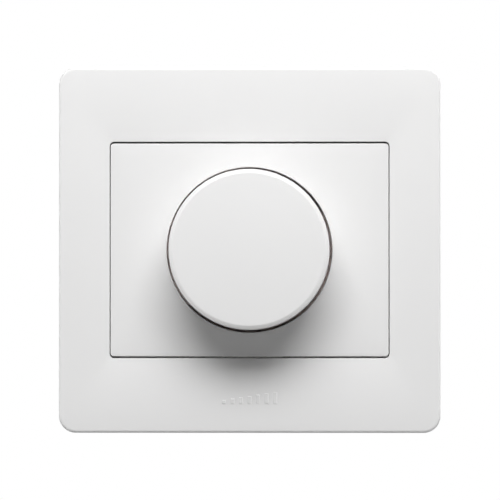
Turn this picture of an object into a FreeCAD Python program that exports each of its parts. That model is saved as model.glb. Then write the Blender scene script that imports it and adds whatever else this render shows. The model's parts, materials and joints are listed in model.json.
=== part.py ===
import FreeCAD, Part
import math
import os
import Sketcher

# Flush-mounted rotary dimmer switch, in millimetres, with +Z up.
# The wall's surface is the plane Y = 0, the room is towards -Y and the wall box is
# towards +Y. The knob turns about the Y axis through the origin. Depths are given as
# "out", the distance in front of the wall, so that a point's Y is minus its out, and
# whatever lies inside the wall box has a negative out.

doc = FreeCAD.newDocument("RotaryDimmer")

SIZES = {
    "outer_frame": {
        "frame_side_room": 5.2,
        "frame_end_room": 3.45,
        "frame_depth": 10.0,
        "frame_corner": 3.8,
        "frame_edge": 1.0,
        "frame_front_wall": 2.0,
        "frame_side_wall": 1.8,
        "opening_width": 62.3,
        "opening_height": 48.2,
        "opening_corner": 1.05,
        "opening_edge": 0.35,
        "collar_wall": 1.3,
        "collar_length": 6.0,
        "frame_rib": 1.0,
        "frame_rib_offset": 20.0,
        "barb_width": 3.5,
        "barb_reach": 0.9,
        "barb_length": 1.6,
    },
    "raised_mark": {
        "mark_margin": 6.65,
        "mark_bar_width": 0.8,
        "mark_pitch": 1.9,
        "mark_low_bar": 0.8,
        "mark_step": 0.3,
        "mark_relief": 0.15,
    },
    "centre_plate": {
        "reveal_gap": 0.3,
        "plate_proud": 0.3,
        "plate_wall": 1.8,
        "plate_edge": 0.15,
        "skirt_wall": 1.2,
        "well_radius": 18.45,
        "well_wall": 1.2,
        "well_floor": 1.4,
        "well_edge": 0.25,
        "plate_rib": 1.0,
        "plate_rib_offset": 8.0,
        "screw_notch_width": 9.0,
        "screw_notch_depth": 4.0,
    },
    "knob_and_clip": {
        "knob_gap": 0.55,
        "knob_draft": 0.4,
        "knob_bevel": 0.85,
        "knob_bevel_depth": 0.5,
        "knob_reach": 14.5,
        "knob_sunk": 3.0,
        "knob_wall": 1.9,
        "knob_top": 2.0,
        "knob_travel": 1.2,
        "knob_rib": 1.0,
        "knob_rib_depth": 7.0,
        "hub_radius": 5.2,
        "hub_slot": 1.0,
        "hub_slot_depth": 4.0,
        "clip_gauge": 0.6,
        "clip_width": 2.0,
        "clip_gap": 4.0,
    },
    "spindle_and_nuts": {
        "spindle_radius": 3.0,
        "spindle_flat": 1.9,
        "spindle_collar": 4.0,
        "spindle_collar_gauge": 0.6,
        "running_clearance": 0.06,
        "end_play": 0.3,
        "bushing_radius": 5.0,
        "bushing_flange_radius": 8.0,
        "bushing_flange": 1.0,
        "bushing_spare": 0.6,
        "hole_clearance": 0.3,
        "thread_clearance": 0.05,
        "washer_radius": 9.0,
        "washer_gauge": 0.5,
        "nut_across_flats": 14.0,
        "nut_thickness": 2.5,
        "ring_nut_radius": 8.5,
        "ring_nut_flange": 1.2,
        "ring_nut_neck": 7.2,
        "ring_nut_thickness": 2.6,
        "ring_nut_notch": 2.0,
    },
    "mounting_plate": {
        "slot_margin": 5.5,
        "steel_gauge": 1.0,
        "steel_corner": 6.0,
        "box_pitch": 60.0,
        "slot_width": 4.0,
        "slot_length": 7.0,
        "tab_clearance": 0.3,
        "tab_width": 8.0,
        "tab_offset": 13.0,
        "tab_height": 6.4,
        "window_width": 4.4,
        "window_sill": 3.2,
        "window_height": 2.4,
    },
    "claws_and_screws": {
        "claw_screw_place": 23.6,
        "claw_screw_radius": 1.5,
        "claw_screw_head": 2.3,
        "claw_screw_head_height": 1.7,
        "claw_screw_stand": 1.6,
        "claw_screw_tip": 0.9,
        "claw_screw_tip_length": 0.8,
        "claw_screw_slot": 0.8,
        "drawn_collar_radius": 2.4,
        "drawn_collar_length": 1.5,
        "ear_gauge": 1.0,
        "ear_gap": 8.4,
        "ear_width": 4.0,
        "ear_length": 4.6,
        "pivot_place": 26.4,
        "pivot_depth": 2.8,
        "pivot_radius": 0.9,
        "claw_width": 7.4,
        "claw_gauge": 1.0,
        "claw_pad_depth": 4.0,
        "claw_length": 20.0,
        "claw_tooth": 0.8,
        "claw_tooth_pitch": 1.2,
        "cheek_gauge": 0.8,
        "cheek_margin": 1.2,
        "contact_gap": 0.1,
    },
    "housing": {
        "housing_width": 42.0,
        "housing_height": 46.0,
        "housing_corner": 6.0,
        "housing_edge": 1.2,
        "housing_wall": 1.6,
        "boss_radius": 2.6,
        "boss_across": 16.6,
        "boss_up": 18.4,
        "post_radius": 1.5,
        "post_across": 17.0,
        "post_high": 10.0,
        "post_low": 7.0,
        "housing_screw_radius": 1.3,
        "housing_screw_head": 2.3,
        "housing_screw_head_height": 1.5,
        "housing_screw_length": 8.0,
        "drive_slot": 0.7,
    },
    "terminals": {
        "entry_size": 5.0,
        "divider_wall": 1.0,
        "divider_clearance": 0.15,
        "divider_proud": 1.2,
        "cage_wall": 1.1,
        "cage_base": 1.9,
        "cage_length": 7.4,
        "cage_lift": 2.0,
        "shelf_wall": 1.0,
        "terminal_screw_radius": 1.7,
        "terminal_head_radius": 2.7,
        "terminal_head_height": 1.8,
        "terminal_head_sunk": 0.4,
        "terminal_head_clearance": 0.4,
        "link_gauge": 0.8,
        "link_width": 4.0,
        "link_overlap": 1.7,
        "link_foot": 3.2,
    },
    "control_and_switch": {
        "can_radius": 8.5,
        "can_gauge": 0.6,
        "can_length": 6.4,
        "spindle_room": 0.6,
        "track_gauge": 1.4,
        "rotor_radius": 6.4,
        "rotor_gauge": 1.2,
        "rotor_clearance": 0.15,
        "rotor_lug": 0.8,
        "rotor_lug_degrees": 20.0,
        "stop_degrees": 8.0,
        "stop_play_degrees": 3.0,
        "turn_degrees": 270.0,
        "wiper_gauge": 0.3,
        "wiper_width": 1.6,
        "wiper_start": 3.8,
        "wiper_end": 6.1,
        "switch_width": 15.0,
        "switch_clearance": 0.5,
        "switch_wall": 1.0,
        "plunger_radius": 2.8,
        "plunger_stem": 1.2,
        "plunger_size": 9.0,
        "plunger_gauge": 2.0,
        "spring_radius": 1.9,
        "spring_wire": 0.2,
        "spring_turns": 4.0,
        "spring_length": 3.2,
        "blade_length": 12.0,
        "blade_width": 1.6,
        "blade_gauge": 0.4,
        "blade_drop": 3.4,
        "contact_size": 1.6,
        "contact_across": 5.0,
        "contact_tail": 0.4,
    },
    "circuit_board": {
        "board_gauge": 1.6,
        "board_width": 38.0,
        "board_high": 21.0,
        "board_notch_across": 13.4,
        "board_notch_up": 15.2,
        "lead_clearance": 0.1,
    },
    "triac": {
        "triac_across": 13.7,
        "triac_low": 14.0,
        "triac_width": 10.0,
        "triac_tab": 6.3,
        "triac_tab_gauge": 1.3,
        "triac_body": 9.2,
        "triac_body_gauge": 4.5,
        "triac_lead": 0.8,
        "triac_lead_gauge": 0.6,
        "triac_lead_pitch": 2.5,
        "triac_lead_level": 2.9,
        "triac_lead_reach": 1.8,
        "heat_pad_gauge": 0.3,
        "heat_pad_margin": 0.4,
        "rivet_radius": 1.5,
        "rivet_head": 2.4,
        "rivet_head_height": 1.0,
        "rivet_up": 2.6,
    },
    "choke": {
        "core_ring": 3.5,
        "core_section": 1.7,
        "winding_wire": 0.3,
        "winding_clearance": 0.05,
        "choke_across": 13.1,
        "choke_up": 9.2,
    },
    "small_parts": {
        "capacitor_width": 6.0,
        "capacitor_height": 12.0,
        "capacitor_tall": 10.5,
        "capacitor_margin": 0.3,
        "timing_width": 6.5,
        "timing_height": 3.0,
        "timing_tall": 7.0,
        "timing_across": 13.6,
        "timing_up": 13.55,
        "resistor_radius": 1.15,
        "resistor_length": 6.0,
        "resistor_across": 13.8,
        "resistor_up": 5.4,
        "resistor_pitch": 2.6,
        "trigger_radius": 0.9,
        "trigger_length": 3.6,
        "trigger_up": 9.4,
        "fuse_up": 17.6,
        "fuse_length": 19.6,
        "fuse_radius": 2.6,
        "fuse_cap": 5.0,
        "fuse_cap_gauge": 0.15,
        "fuse_clip_gauge": 0.6,
        "fuse_clip_length": 3.6,
        "fuse_clip_height": 5.5,
        "fuse_clip_clearance": 0.05,
    },
}
BAR_COUNT = 7
KNOB_RIBS = 6
RING_NUT_NOTCHES = 6
WINDING_TURNS = 12
TERMINALS = 3
RESISTORS = 3
CLAW_TEETH = 3


class Size:
    """A length that knows its value and the sheet formula that gives that value."""

    def __init__(self, value, formula):
        self.value = value
        self.formula = formula

    def __add__(self, other):
        return combine(self, "+", other, self.value + plain(other))

    def __radd__(self, other):
        return combine(other, "+", self, plain(other) + self.value)

    def __sub__(self, other):
        return combine(self, "-", other, self.value - plain(other))

    def __rsub__(self, other):
        return combine(other, "-", self, plain(other) - self.value)

    def __mul__(self, other):
        return combine(self, "*", other, self.value * plain(other))

    def __rmul__(self, other):
        return combine(other, "*", self, plain(other) * self.value)

    def __truediv__(self, other):
        return combine(self, "/", other, self.value / plain(other))

    def __neg__(self):
        return combine(-1, "*", self, -self.value)


def plain(size):
    return size.value if isinstance(size, Size) else float(size)


def combine(left, sign, right, value):
    formulas = [
        side.formula if isinstance(side, Size) else repr(float(side))
        for side in (left, right)
    ]
    return Size(value, "({} {} {})".format(formulas[0], sign, formulas[1]))


class SizeSheet:
    """The spreadsheet of driving dimensions, each of which is an attribute here."""

    def __init__(self):
        sheet = doc.addObject("Spreadsheet::Sheet", "Sizes")
        row = 1
        for heading, lines in SIZES.items():
            sheet.set("A{}".format(row), heading)
            row += 1
            for name, value in lines.items():
                sheet.set("A{}".format(row), name)
                sheet.set("B{}".format(row), str(value))
                sheet.setAlias("B{}".format(row), name)
                setattr(self, name, Size(float(value), "Sizes." + name))
                row += 1
        doc.recompute()


s = SizeSheet()

# Levels that several pieces share, each a distance out from the wall.
steel_front = s.steel_gauge
nut_front = steel_front + s.washer_gauge + s.nut_thickness
plate_front = s.frame_depth + s.plate_proud
well_floor_front = nut_front + s.well_floor
ring_nut_front = well_floor_front + s.ring_nut_thickness
bushing_end = ring_nut_front + s.bushing_spare
knob_face = plate_front + s.knob_reach
knob_rim = plate_front - s.knob_sunk
knob_ceiling = knob_face - s.knob_top
hub_end = bushing_end + s.knob_travel + s.end_play
spindle_end = knob_ceiling - 2 * s.end_play
can_front = -s.bushing_flange
can_back = can_front - s.can_length
track_front = can_back + s.track_gauge
collar_front = can_front - s.can_gauge - s.contact_gap
collar_back = collar_front - s.spindle_collar_gauge
rotor_front = collar_back - s.knob_travel - s.rotor_clearance
rotor_back = rotor_front - s.rotor_gauge
spindle_back = can_back - s.contact_gap
plunger_front = spindle_back - s.contact_gap
plunger_shoulder = plunger_front - s.plunger_stem
plunger_back = plunger_shoulder - s.plunger_gauge
board_front = plunger_back - s.spring_length - s.switch_wall
board_back = board_front - s.board_gauge
switch_floor = board_front + s.switch_wall
housing_floor = board_front - s.cage_length
housing_back = housing_floor - s.housing_wall

# Outlines and places that several pieces share.
steel_size = s.box_pitch + 2 * s.slot_margin
frame_width = steel_size + 2 * (s.frame_side_room + s.frame_side_wall)
frame_height = steel_size + 2 * (s.frame_end_room + s.frame_side_wall)
plate_width = s.opening_width - 2 * s.reveal_gap
plate_height = s.opening_height - 2 * s.reveal_gap
plate_corner = s.opening_corner - s.reveal_gap
knob_base_radius = s.well_radius - s.knob_gap
knob_face_radius = knob_base_radius - s.knob_draft
knob_inner_radius = knob_face_radius - s.knob_wall
collar_width = s.opening_width + 2 * s.collar_wall
collar_height = s.opening_height + 2 * s.collar_wall
tab_inner = collar_width / 2 + s.tab_clearance
tab_outer = tab_inner + s.steel_gauge
can_inner_radius = s.can_radius - s.can_gauge
spindle_hole = s.spindle_radius + s.spindle_room
housing_inner_width = s.housing_width - 2 * s.housing_wall
housing_inner_height = s.housing_height - 2 * s.housing_wall
cage_width = s.entry_size + 2 * s.cage_wall
terminal_pitch = cage_width + s.divider_wall + 2 * s.divider_clearance
cage_bottom = s.cage_lift - housing_inner_height / 2
entry_base = cage_bottom + s.cage_base
entry_middle = entry_base + s.entry_size / 2
entry_top = entry_base + s.entry_size
cage_top = entry_top + s.cage_wall
shelf_top = cage_top + s.contact_gap + s.shelf_wall
board_bottom = shelf_top + s.contact_gap
link_top = board_bottom + s.link_foot
switch_height = -2 * (link_top + s.switch_clearance)
terminal_screw_out = (housing_floor + board_front) / 2
terminal_head_base = s.terminal_head_sunk - s.housing_height / 2
rivet_z = s.rivet_up - s.triac_low
triac_top = s.triac_tab + s.triac_body - s.triac_low
triac_back = -s.heat_pad_gauge
triac_lead_z = triac_top + s.triac_lead_reach - s.triac_lead / 2

sub_parts = []


def vector(x, y, z=0):
    return FreeCAD.Vector(plain(x), plain(y), plain(z))


def bind(obj, path, size):
    """Ties a property to the sheet. A plain zero needs no tie."""
    if isinstance(size, Size):
        obj.setExpression(path, size.formula)


def ordered(one, other):
    return sorted([one, other], key=plain)


def named(obj, label):
    obj.Label = label
    sub_parts.append(obj)
    return obj


# Sketches


def origin_part(body, role):
    return next(f for f in body.Origin.OriginFeatures if f.Role == role)


def new_body(label, x=0):
    body = named(doc.addObject("PartDesign::Body", label), label)
    bind(body, "Placement.Base.x", x)
    return body


def new_sketch(body, name, role="XZ_Plane", offset=0):
    """A sketch on a plane of its body. On XZ_Plane the offset is a distance out."""
    sketch = body.newObject("Sketcher::SketchObject", name)
    sketch.AttachmentSupport = [(origin_part(body, role), "")]
    sketch.MapMode = "FlatFace"
    bind(sketch, "AttachmentOffset.Base.z", offset)
    return sketch


def hold(sketch, kind, size, *places):
    """A constraint whose value comes from the sheet."""
    index = sketch.addConstraint(Sketcher.Constraint(kind, *places, plain(size)))
    name = "{}{}".format(kind, index)
    sketch.renameConstraint(index, name)
    bind(sketch, "Constraints." + name, size)


def hold_point(sketch, geometry, end, x, y):
    hold(sketch, "DistanceX", x, -1, 1, geometry, end)
    hold(sketch, "DistanceY", y, -1, 1, geometry, end)


def add_polygon(sketch, corners):
    first = sketch.GeometryCount
    count = len(corners)
    for i in range(count):
        start = vector(*corners[i])
        end = vector(*corners[(i + 1) % count])
        sketch.addGeometry(Part.LineSegment(start, end), False)
    for i in range(count):
        after = first + (i + 1) % count
        sketch.addConstraint(Sketcher.Constraint("Coincident", first + i, 2, after, 1))
    for i, corner in enumerate(corners):
        hold_point(sketch, first + i, 1, *corner)


def add_rectangle(sketch, x_ends, y_ends):
    x_low, x_high = ordered(*x_ends)
    y_low, y_high = ordered(*y_ends)
    add_polygon(
        sketch, [(x_low, y_low), (x_high, y_low), (x_high, y_high), (x_low, y_high)]
    )


def add_centred_rectangle(sketch, width, height, x=0, y=0):
    add_rectangle(
        sketch, (x - width / 2, x + width / 2), (y - height / 2, y + height / 2)
    )


def add_circle(sketch, radius, x=0, y=0):
    circle = Part.Circle(vector(x, y), FreeCAD.Vector(0, 0, 1), plain(radius))
    index = sketch.addGeometry(circle, False)
    hold_point(sketch, index, 3, x, y)
    hold(sketch, "Radius", radius, index)


def add_rounded_rectangle(sketch, width, height, radius):
    """A rectangle about the origin whose corners are quarter circles."""
    right, top = width / 2, height / 2
    across, up = right - radius, top - radius
    sides = [
        ((-across, -top), (across, -top)),
        ((right, -up), (right, up)),
        ((across, top), (-across, top)),
        ((-right, up), (-right, -up)),
    ]
    centres = [(across, -up), (across, up), (-across, up), (-across, -up)]
    add_sides_and_arcs(sketch, sides, centres, radius, [270, 0, 90, 180], False)


def add_slot(sketch, length, width, x, y, upright):
    """A slot with round ends about (x, y)."""
    reach = (length - width) / 2
    half = width / 2
    if upright:
        centres = [(x, y + reach), (x, y - reach)]
        sides = [
            ((x + half, y - reach), (x + half, y + reach)),
            ((x - half, y + reach), (x - half, y - reach)),
        ]
        turns = [0, 180]
    else:
        centres = [(x + reach, y), (x - reach, y)]
        sides = [
            ((x - reach, y - half), (x + reach, y - half)),
            ((x + reach, y + half), (x - reach, y + half)),
        ]
        turns = [270, 90]
    add_sides_and_arcs(sketch, sides, centres, half, turns, upright)


def add_sides_and_arcs(sketch, sides, centres, radius, turns, upright):
    """Straight sides, each joined to the next by an arc that starts at its turn."""
    first = sketch.GeometryCount
    count = len(sides)
    sweep = 360 / count
    for start, end in sides:
        sketch.addGeometry(Part.LineSegment(vector(*start), vector(*end)), False)
    for centre, turn in zip(centres, turns):
        circle = Part.Circle(vector(*centre), FreeCAD.Vector(0, 0, 1), plain(radius))
        low, high = math.radians(turn), math.radians(turn + sweep)
        sketch.addGeometry(Part.ArcOfCircle(circle, low, high), False)
    for i, (start, end) in enumerate(sides):
        hold_point(sketch, first + i, 1, *start)
        hold_point(sketch, first + i, 2, *end)
    for i, (x, y) in enumerate(centres):
        arc = first + count + i
        after = first + (i + 1) % count
        sketch.addConstraint(Sketcher.Constraint("Coincident", arc, 1, first + i, 2))
        sketch.addConstraint(Sketcher.Constraint("Coincident", arc, 2, after, 1))
        if upright:
            hold(sketch, "DistanceY", y, -1, 1, arc, 3)
        else:
            hold(sketch, "DistanceX", x, -1, 1, arc, 3)


def add_flatted_circle(sketch, radius, flat):
    """A circle with a flat on its lower side, at a distance from the centre."""
    half = math.sqrt(plain(radius) ** 2 - plain(flat) ** 2)
    low = math.atan2(-plain(flat), half)
    circle = Part.Circle(FreeCAD.Vector(), FreeCAD.Vector(0, 0, 1), plain(radius))
    arc = sketch.addGeometry(Part.ArcOfCircle(circle, low, math.pi - low), False)
    line = Part.LineSegment(vector(-half, -flat), vector(half, -flat))
    side = sketch.addGeometry(line, False)
    sketch.addConstraint(Sketcher.Constraint("Coincident", arc, 3, -1, 1))
    sketch.addConstraint(Sketcher.Constraint("Coincident", arc, 2, side, 1))
    sketch.addConstraint(Sketcher.Constraint("Coincident", side, 2, arc, 1))
    sketch.addConstraint(Sketcher.Constraint("Horizontal", side))
    hold(sketch, "Radius", radius, arc)
    hold(sketch, "DistanceY", -flat, -1, 1, side, 1)


def sector_corners(inner, outer, middle, width):
    """Four corners of a narrow sector, whose angles are in degrees."""
    low, high = math.radians(middle - width / 2), math.radians(middle + width / 2)
    return [
        (inner * math.cos(low), inner * math.sin(low)),
        (outer * math.cos(low), outer * math.sin(low)),
        (outer * math.cos(high), outer * math.sin(high)),
        (inner * math.cos(high), inner * math.sin(high)),
    ]


# Features


def add_feature(body, kind, name, sketch, length, reverse, symmetric):
    feature = body.newObject("PartDesign::" + kind, name)
    feature.Profile = sketch
    bind(feature, "Length", length)
    feature.Reversed = reverse
    if symmetric:
        feature.SideType = "Symmetric"
    return feature


def pad(body, name, sketch, length, reverse=False, symmetric=False):
    """Material from the sketch: outwards on XZ_Plane, unless it is reversed."""
    return add_feature(body, "Pad", name, sketch, length, reverse, symmetric)


def pocket(body, name, sketch, length, reverse=False, symmetric=False):
    """A cut from the sketch: inwards on XZ_Plane, unless it is reversed."""
    return add_feature(body, "Pocket", name, sketch, length, reverse, symmetric)


def mirror_left_to_right(body, name, feature):
    doc.recompute()
    mirrored = body.newObject("PartDesign::Mirrored", name)
    mirrored.Originals = [feature]
    mirrored.MirrorPlane = (origin_part(body, "YZ_Plane"), [""])
    body.Tip = mirrored


def repeat_round_axis(body, name, feature, count):
    doc.recompute()
    pattern = body.newObject("PartDesign::PolarPattern", name)
    pattern.Originals = [feature]
    pattern.Axis = (origin_part(body, "Y_Axis"), [""])
    pattern.Angle = 360
    pattern.Occurrences = count
    body.Tip = pattern


def round_front_edges(body, name, radius, width, height, out):
    """Rounds the edges that lie at one level, inside a rectangle about the axis."""
    doc.recompute()
    base = body.Tip
    low = vector(-width / 2, -out, -height / 2)
    high = vector(width / 2, -out, height / 2)
    level_box = FreeCAD.BoundBox(low, high)
    level_box.enlarge(0.01)
    found = []
    for i, edge in enumerate(base.Shape.Edges, 1):
        if level_box.isInside(edge.BoundBox):
            found.append("Edge{}".format(i))
    fillet = body.newObject("PartDesign::Fillet", name)
    fillet.Base = (base, found)
    bind(fillet, "Radius", radius)


def turned(label, profile, x=0):
    """A body turned about an axis along Y, from a profile of (radius, out) corners."""
    body = new_body(label, x)
    sketch = new_sketch(body, label + "_profile", "XY_Plane")
    add_polygon(sketch, [(radius, -out) for radius, out in profile])
    feature = body.newObject("PartDesign::Revolution", label + "_turned")
    feature.Profile = sketch
    feature.ReferenceAxis = (sketch, ["V_Axis"])
    feature.Angle = 360
    return body


# Plain solids, each given by its ranges in x, out and z


def block(label, x, out, z):
    solid = doc.addObject("Part::Box", label)
    out_low, out_high = ordered(*out)
    bind(solid, "Length", x[1] - x[0])
    bind(solid, "Width", out_high - out_low)
    bind(solid, "Height", z[1] - z[0])
    bind(solid, "Placement.Base.x", x[0])
    bind(solid, "Placement.Base.y", -out_high)
    bind(solid, "Placement.Base.z", z[0])
    return solid


def centred_block(label, centre, size, out):
    """A block about a centre (x, z), with a size across x and z and ends in out."""
    x, z = centre
    width, height = size
    return block(
        label, (x - width / 2, x + width / 2), out, (z - height / 2, z + height / 2)
    )


def rod(label, radius, start, length, along):
    """A cylinder from the start (x, out, z), along x, out or z."""
    turns = {
        "x": FreeCAD.Rotation(FreeCAD.Vector(0, 1, 0), 90),
        "out": FreeCAD.Rotation(FreeCAD.Vector(1, 0, 0), 90),
        "z": FreeCAD.Rotation(),
    }
    solid = doc.addObject("Part::Cylinder", label)
    solid.Placement = FreeCAD.Placement(FreeCAD.Vector(), turns[along])
    bind(solid, "Radius", radius)
    bind(solid, "Height", length)
    bind(solid, "Placement.Base.x", start[0])
    bind(solid, "Placement.Base.y", -start[1])
    bind(solid, "Placement.Base.z", start[2])
    return solid


def fuse(label, pieces):
    result = doc.addObject("Part::MultiFuse", label)
    result.Shapes = pieces
    return result


def cut(label, base, tools):
    result = doc.addObject("Part::Cut", label)
    result.Base = base
    result.Tool = tools[0] if len(tools) == 1 else fuse(label + "_tools", tools)
    return result


def group(label, pieces):
    """Separate like solids that are one node."""
    result = doc.addObject("Part::Compound", label)
    result.Links = pieces
    return result


# Outer frame: a moulded tray with a collar round its opening


def make_frame():
    body = new_body("outer_frame")
    outline = new_sketch(body, "frame_outline")
    add_rounded_rectangle(outline, frame_width, frame_height, s.frame_corner)
    pad(body, "frame_block", outline, s.frame_depth)
    round_front_edges(
        body, "frame_round", s.frame_edge, frame_width, frame_height, s.frame_depth
    )
    inner_width = frame_width - 2 * s.frame_side_wall
    inner_height = frame_height - 2 * s.frame_side_wall
    inner_corner = s.frame_corner - s.frame_side_wall
    inside = s.frame_depth - s.frame_front_wall
    collar_end = s.frame_depth - s.collar_length
    hollow = new_sketch(body, "frame_hollow_outline", offset=collar_end)
    add_rounded_rectangle(hollow, inner_width, inner_height, inner_corner)
    collar_corner = s.opening_corner + s.collar_wall
    add_rounded_rectangle(hollow, collar_width, collar_height, collar_corner)
    pocket(body, "frame_hollow", hollow, inside - collar_end, reverse=True)
    back = new_sketch(body, "frame_back_outline", offset=collar_end)
    add_rounded_rectangle(back, inner_width, inner_height, inner_corner)
    pocket(body, "frame_back", back, collar_end)
    opening = new_sketch(body, "frame_opening_outline", offset=s.frame_depth)
    add_rounded_rectangle(opening, s.opening_width, s.opening_height, s.opening_corner)
    pocket(body, "frame_opening", opening, s.frame_depth)
    round_front_edges(
        body,
        "opening_round",
        s.opening_edge,
        s.opening_width,
        s.opening_height,
        s.frame_depth,
    )
    add_frame_ribs(body, inside, inner_width, inner_height)
    add_frame_barbs(body)
    add_mark(body)


def add_frame_ribs(body, inside, inner_width, inner_height):
    """Ribs from the collar to the side walls, whose ends stand on the steel plate."""
    sketch = new_sketch(body, "frame_rib_outlines", offset=steel_front)
    for side in (-1, 1):
        x_ends = (side * collar_width / 2, side * inner_width / 2)
        z_ends = (side * collar_height / 2, side * inner_height / 2)
        for other in (-1, 1):
            middle = other * s.frame_rib_offset
            band = (middle - s.frame_rib / 2, middle + s.frame_rib / 2)
            add_rectangle(sketch, x_ends, band)
            add_rectangle(sketch, band, z_ends)
    pad(body, "frame_ribs", sketch, inside - steel_front)


def add_frame_barbs(body):
    """Four barbs on the collar, which snap into the windows of the steel tabs."""
    face = collar_width / 2
    top = steel_front + s.window_sill + s.window_height - 2 * s.tab_clearance
    for name, up in (("lower", -1), ("upper", 1)):
        start = up * s.tab_offset - s.barb_width / 2
        sketch = new_sketch(body, name + "_barb_outline", "XY_Plane", start)
        add_polygon(
            sketch,
            [(face, -top), (face, s.barb_length - top), (face + s.barb_reach, -top)],
        )
        barb = pad(body, name + "_barb", sketch, s.barb_width)
        mirror_left_to_right(body, name + "_barbs", barb)


def add_mark(body):
    """A row of low bars that grow in height from left to right."""
    sketch = new_sketch(body, "mark_outlines", offset=s.frame_depth)
    tallest = s.mark_low_bar + (BAR_COUNT - 1) * s.mark_step
    foot = s.mark_margin - frame_height / 2 - tallest / 2
    for i in range(BAR_COUNT):
        middle = (i - (BAR_COUNT - 1) / 2) * s.mark_pitch
        x_ends = (middle - s.mark_bar_width / 2, middle + s.mark_bar_width / 2)
        add_rectangle(sketch, x_ends, (foot, foot + s.mark_low_bar + i * s.mark_step))
    pad(body, "mark_bars", sketch, s.mark_relief)


# Centre plate: the cover inside the frame, with a round well that the knob sinks into


def make_centre_plate():
    body = new_body("centre_plate")
    outline = new_sketch(body, "plate_outline", offset=steel_front)
    add_rounded_rectangle(outline, plate_width, plate_height, plate_corner)
    pad(body, "plate_block", outline, plate_front - steel_front)
    round_front_edges(
        body, "plate_round", s.plate_edge, plate_width, plate_height, plate_front
    )
    inner_width = plate_width - 2 * s.skirt_wall
    inner_height = plate_height - 2 * s.skirt_wall
    inside = plate_front - s.plate_wall
    hollow = new_sketch(body, "plate_hollow_outline", offset=nut_front)
    add_centred_rectangle(hollow, inner_width, inner_height)
    add_circle(hollow, s.well_radius + s.well_wall)
    pocket(body, "plate_hollow", hollow, inside - nut_front, reverse=True)
    back = new_sketch(body, "plate_back_outline", offset=nut_front)
    add_centred_rectangle(back, inner_width, inner_height)
    pocket(body, "plate_back", back, nut_front - steel_front)
    add_plate_ribs(body, inner_width, inner_height, inside)
    well = new_sketch(body, "well_outline", offset=plate_front)
    add_circle(well, s.well_radius)
    pocket(body, "well", well, plate_front - well_floor_front)
    reach = 2 * s.well_radius
    round_front_edges(body, "well_round", s.well_edge, reach, reach, plate_front)
    hole = new_sketch(body, "bushing_hole_outline", offset=well_floor_front)
    add_circle(hole, s.bushing_radius + s.hole_clearance)
    pocket(body, "bushing_hole", hole, s.well_floor)
    notch = new_sketch(body, "screw_notch_outline", offset=steel_front)
    for side in (-1, 1):
        middle = side * (plate_width - s.skirt_wall) / 2
        add_centred_rectangle(notch, 2 * s.skirt_wall, s.screw_notch_width, x=middle)
    pocket(body, "screw_notches", notch, s.screw_notch_depth, reverse=True)


def add_plate_ribs(body, inner_width, inner_height, inside):
    """Ribs under the cover, from the middle of the well's wall out to the skirt."""
    sketch = new_sketch(body, "plate_rib_outlines", offset=nut_front)
    well_middle = s.well_radius + s.well_wall / 2
    start = well_middle * math.cos(math.asin(plain(s.plate_rib_offset / well_middle)))
    for side in (-1, 1):
        x_ends = (side * start, side * inner_width / 2)
        z_ends = (side * start, side * inner_height / 2)
        for other in (-1, 1):
            middle = other * s.plate_rib_offset
            band = (middle - s.plate_rib / 2, middle + s.plate_rib / 2)
            add_rectangle(sketch, x_ends, band)
            add_rectangle(sketch, band, z_ends)
    pad(body, "plate_ribs", sketch, inside - nut_front)


# Knob, its clip and the spindle


def make_knob():
    """A hollow cap with a slight draft, a bevelled face, ribs and a flatted hub."""
    profile = [
        (0, knob_face),
        (0, knob_ceiling),
        (knob_inner_radius, knob_ceiling),
        (knob_inner_radius, knob_rim),
        (knob_base_radius, knob_rim),
        (knob_face_radius, knob_face - s.knob_bevel_depth),
        (knob_face_radius - s.knob_bevel, knob_face),
    ]
    body = turned("knob", profile)
    hub = new_sketch(body, "hub_outline", offset=hub_end)
    add_circle(hub, s.hub_radius)
    pad(body, "hub", hub, knob_ceiling - hub_end)
    rib = new_sketch(body, "knob_rib_outline", offset=knob_ceiling - s.knob_rib_depth)
    x_ends = (s.hub_radius - s.knob_rib, knob_inner_radius + s.knob_rib)
    add_rectangle(rib, x_ends, (-s.knob_rib / 2, s.knob_rib / 2))
    first_rib = pad(body, "knob_rib", rib, s.knob_rib_depth)
    repeat_round_axis(body, "knob_ribs", first_rib, KNOB_RIBS)
    bore = new_sketch(body, "hub_bore_outline", offset=hub_end)
    clearance = s.running_clearance
    add_flatted_circle(bore, s.spindle_radius + clearance, s.spindle_flat + clearance)
    depth = spindle_end + s.end_play - hub_end
    pocket(body, "hub_bore", bore, depth, reverse=True)
    slot = new_sketch(body, "hub_slot_outline", offset=hub_end)
    add_centred_rectangle(slot, s.hub_slot, 2 * (s.hub_radius + s.hub_slot))
    pocket(body, "hub_slots", slot, s.hub_slot_depth, reverse=True)


def make_knob_clip():
    """An open spring ring that squeezes the slotted hub onto the spindle."""
    body = new_body("knob_clip")
    start = hub_end + (s.hub_slot_depth - s.clip_width) / 2
    ring = new_sketch(body, "clip_outline", offset=start)
    add_circle(ring, s.hub_radius + s.clip_gauge)
    add_circle(ring, s.hub_radius)
    pad(body, "clip_ring", ring, s.clip_width)
    gap = new_sketch(body, "clip_gap_outline", offset=start)
    add_rectangle(gap, (-s.clip_gap / 2, s.clip_gap / 2), (0, 2 * s.hub_radius))
    pocket(body, "clip_opening", gap, s.clip_width, reverse=True)


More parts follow.
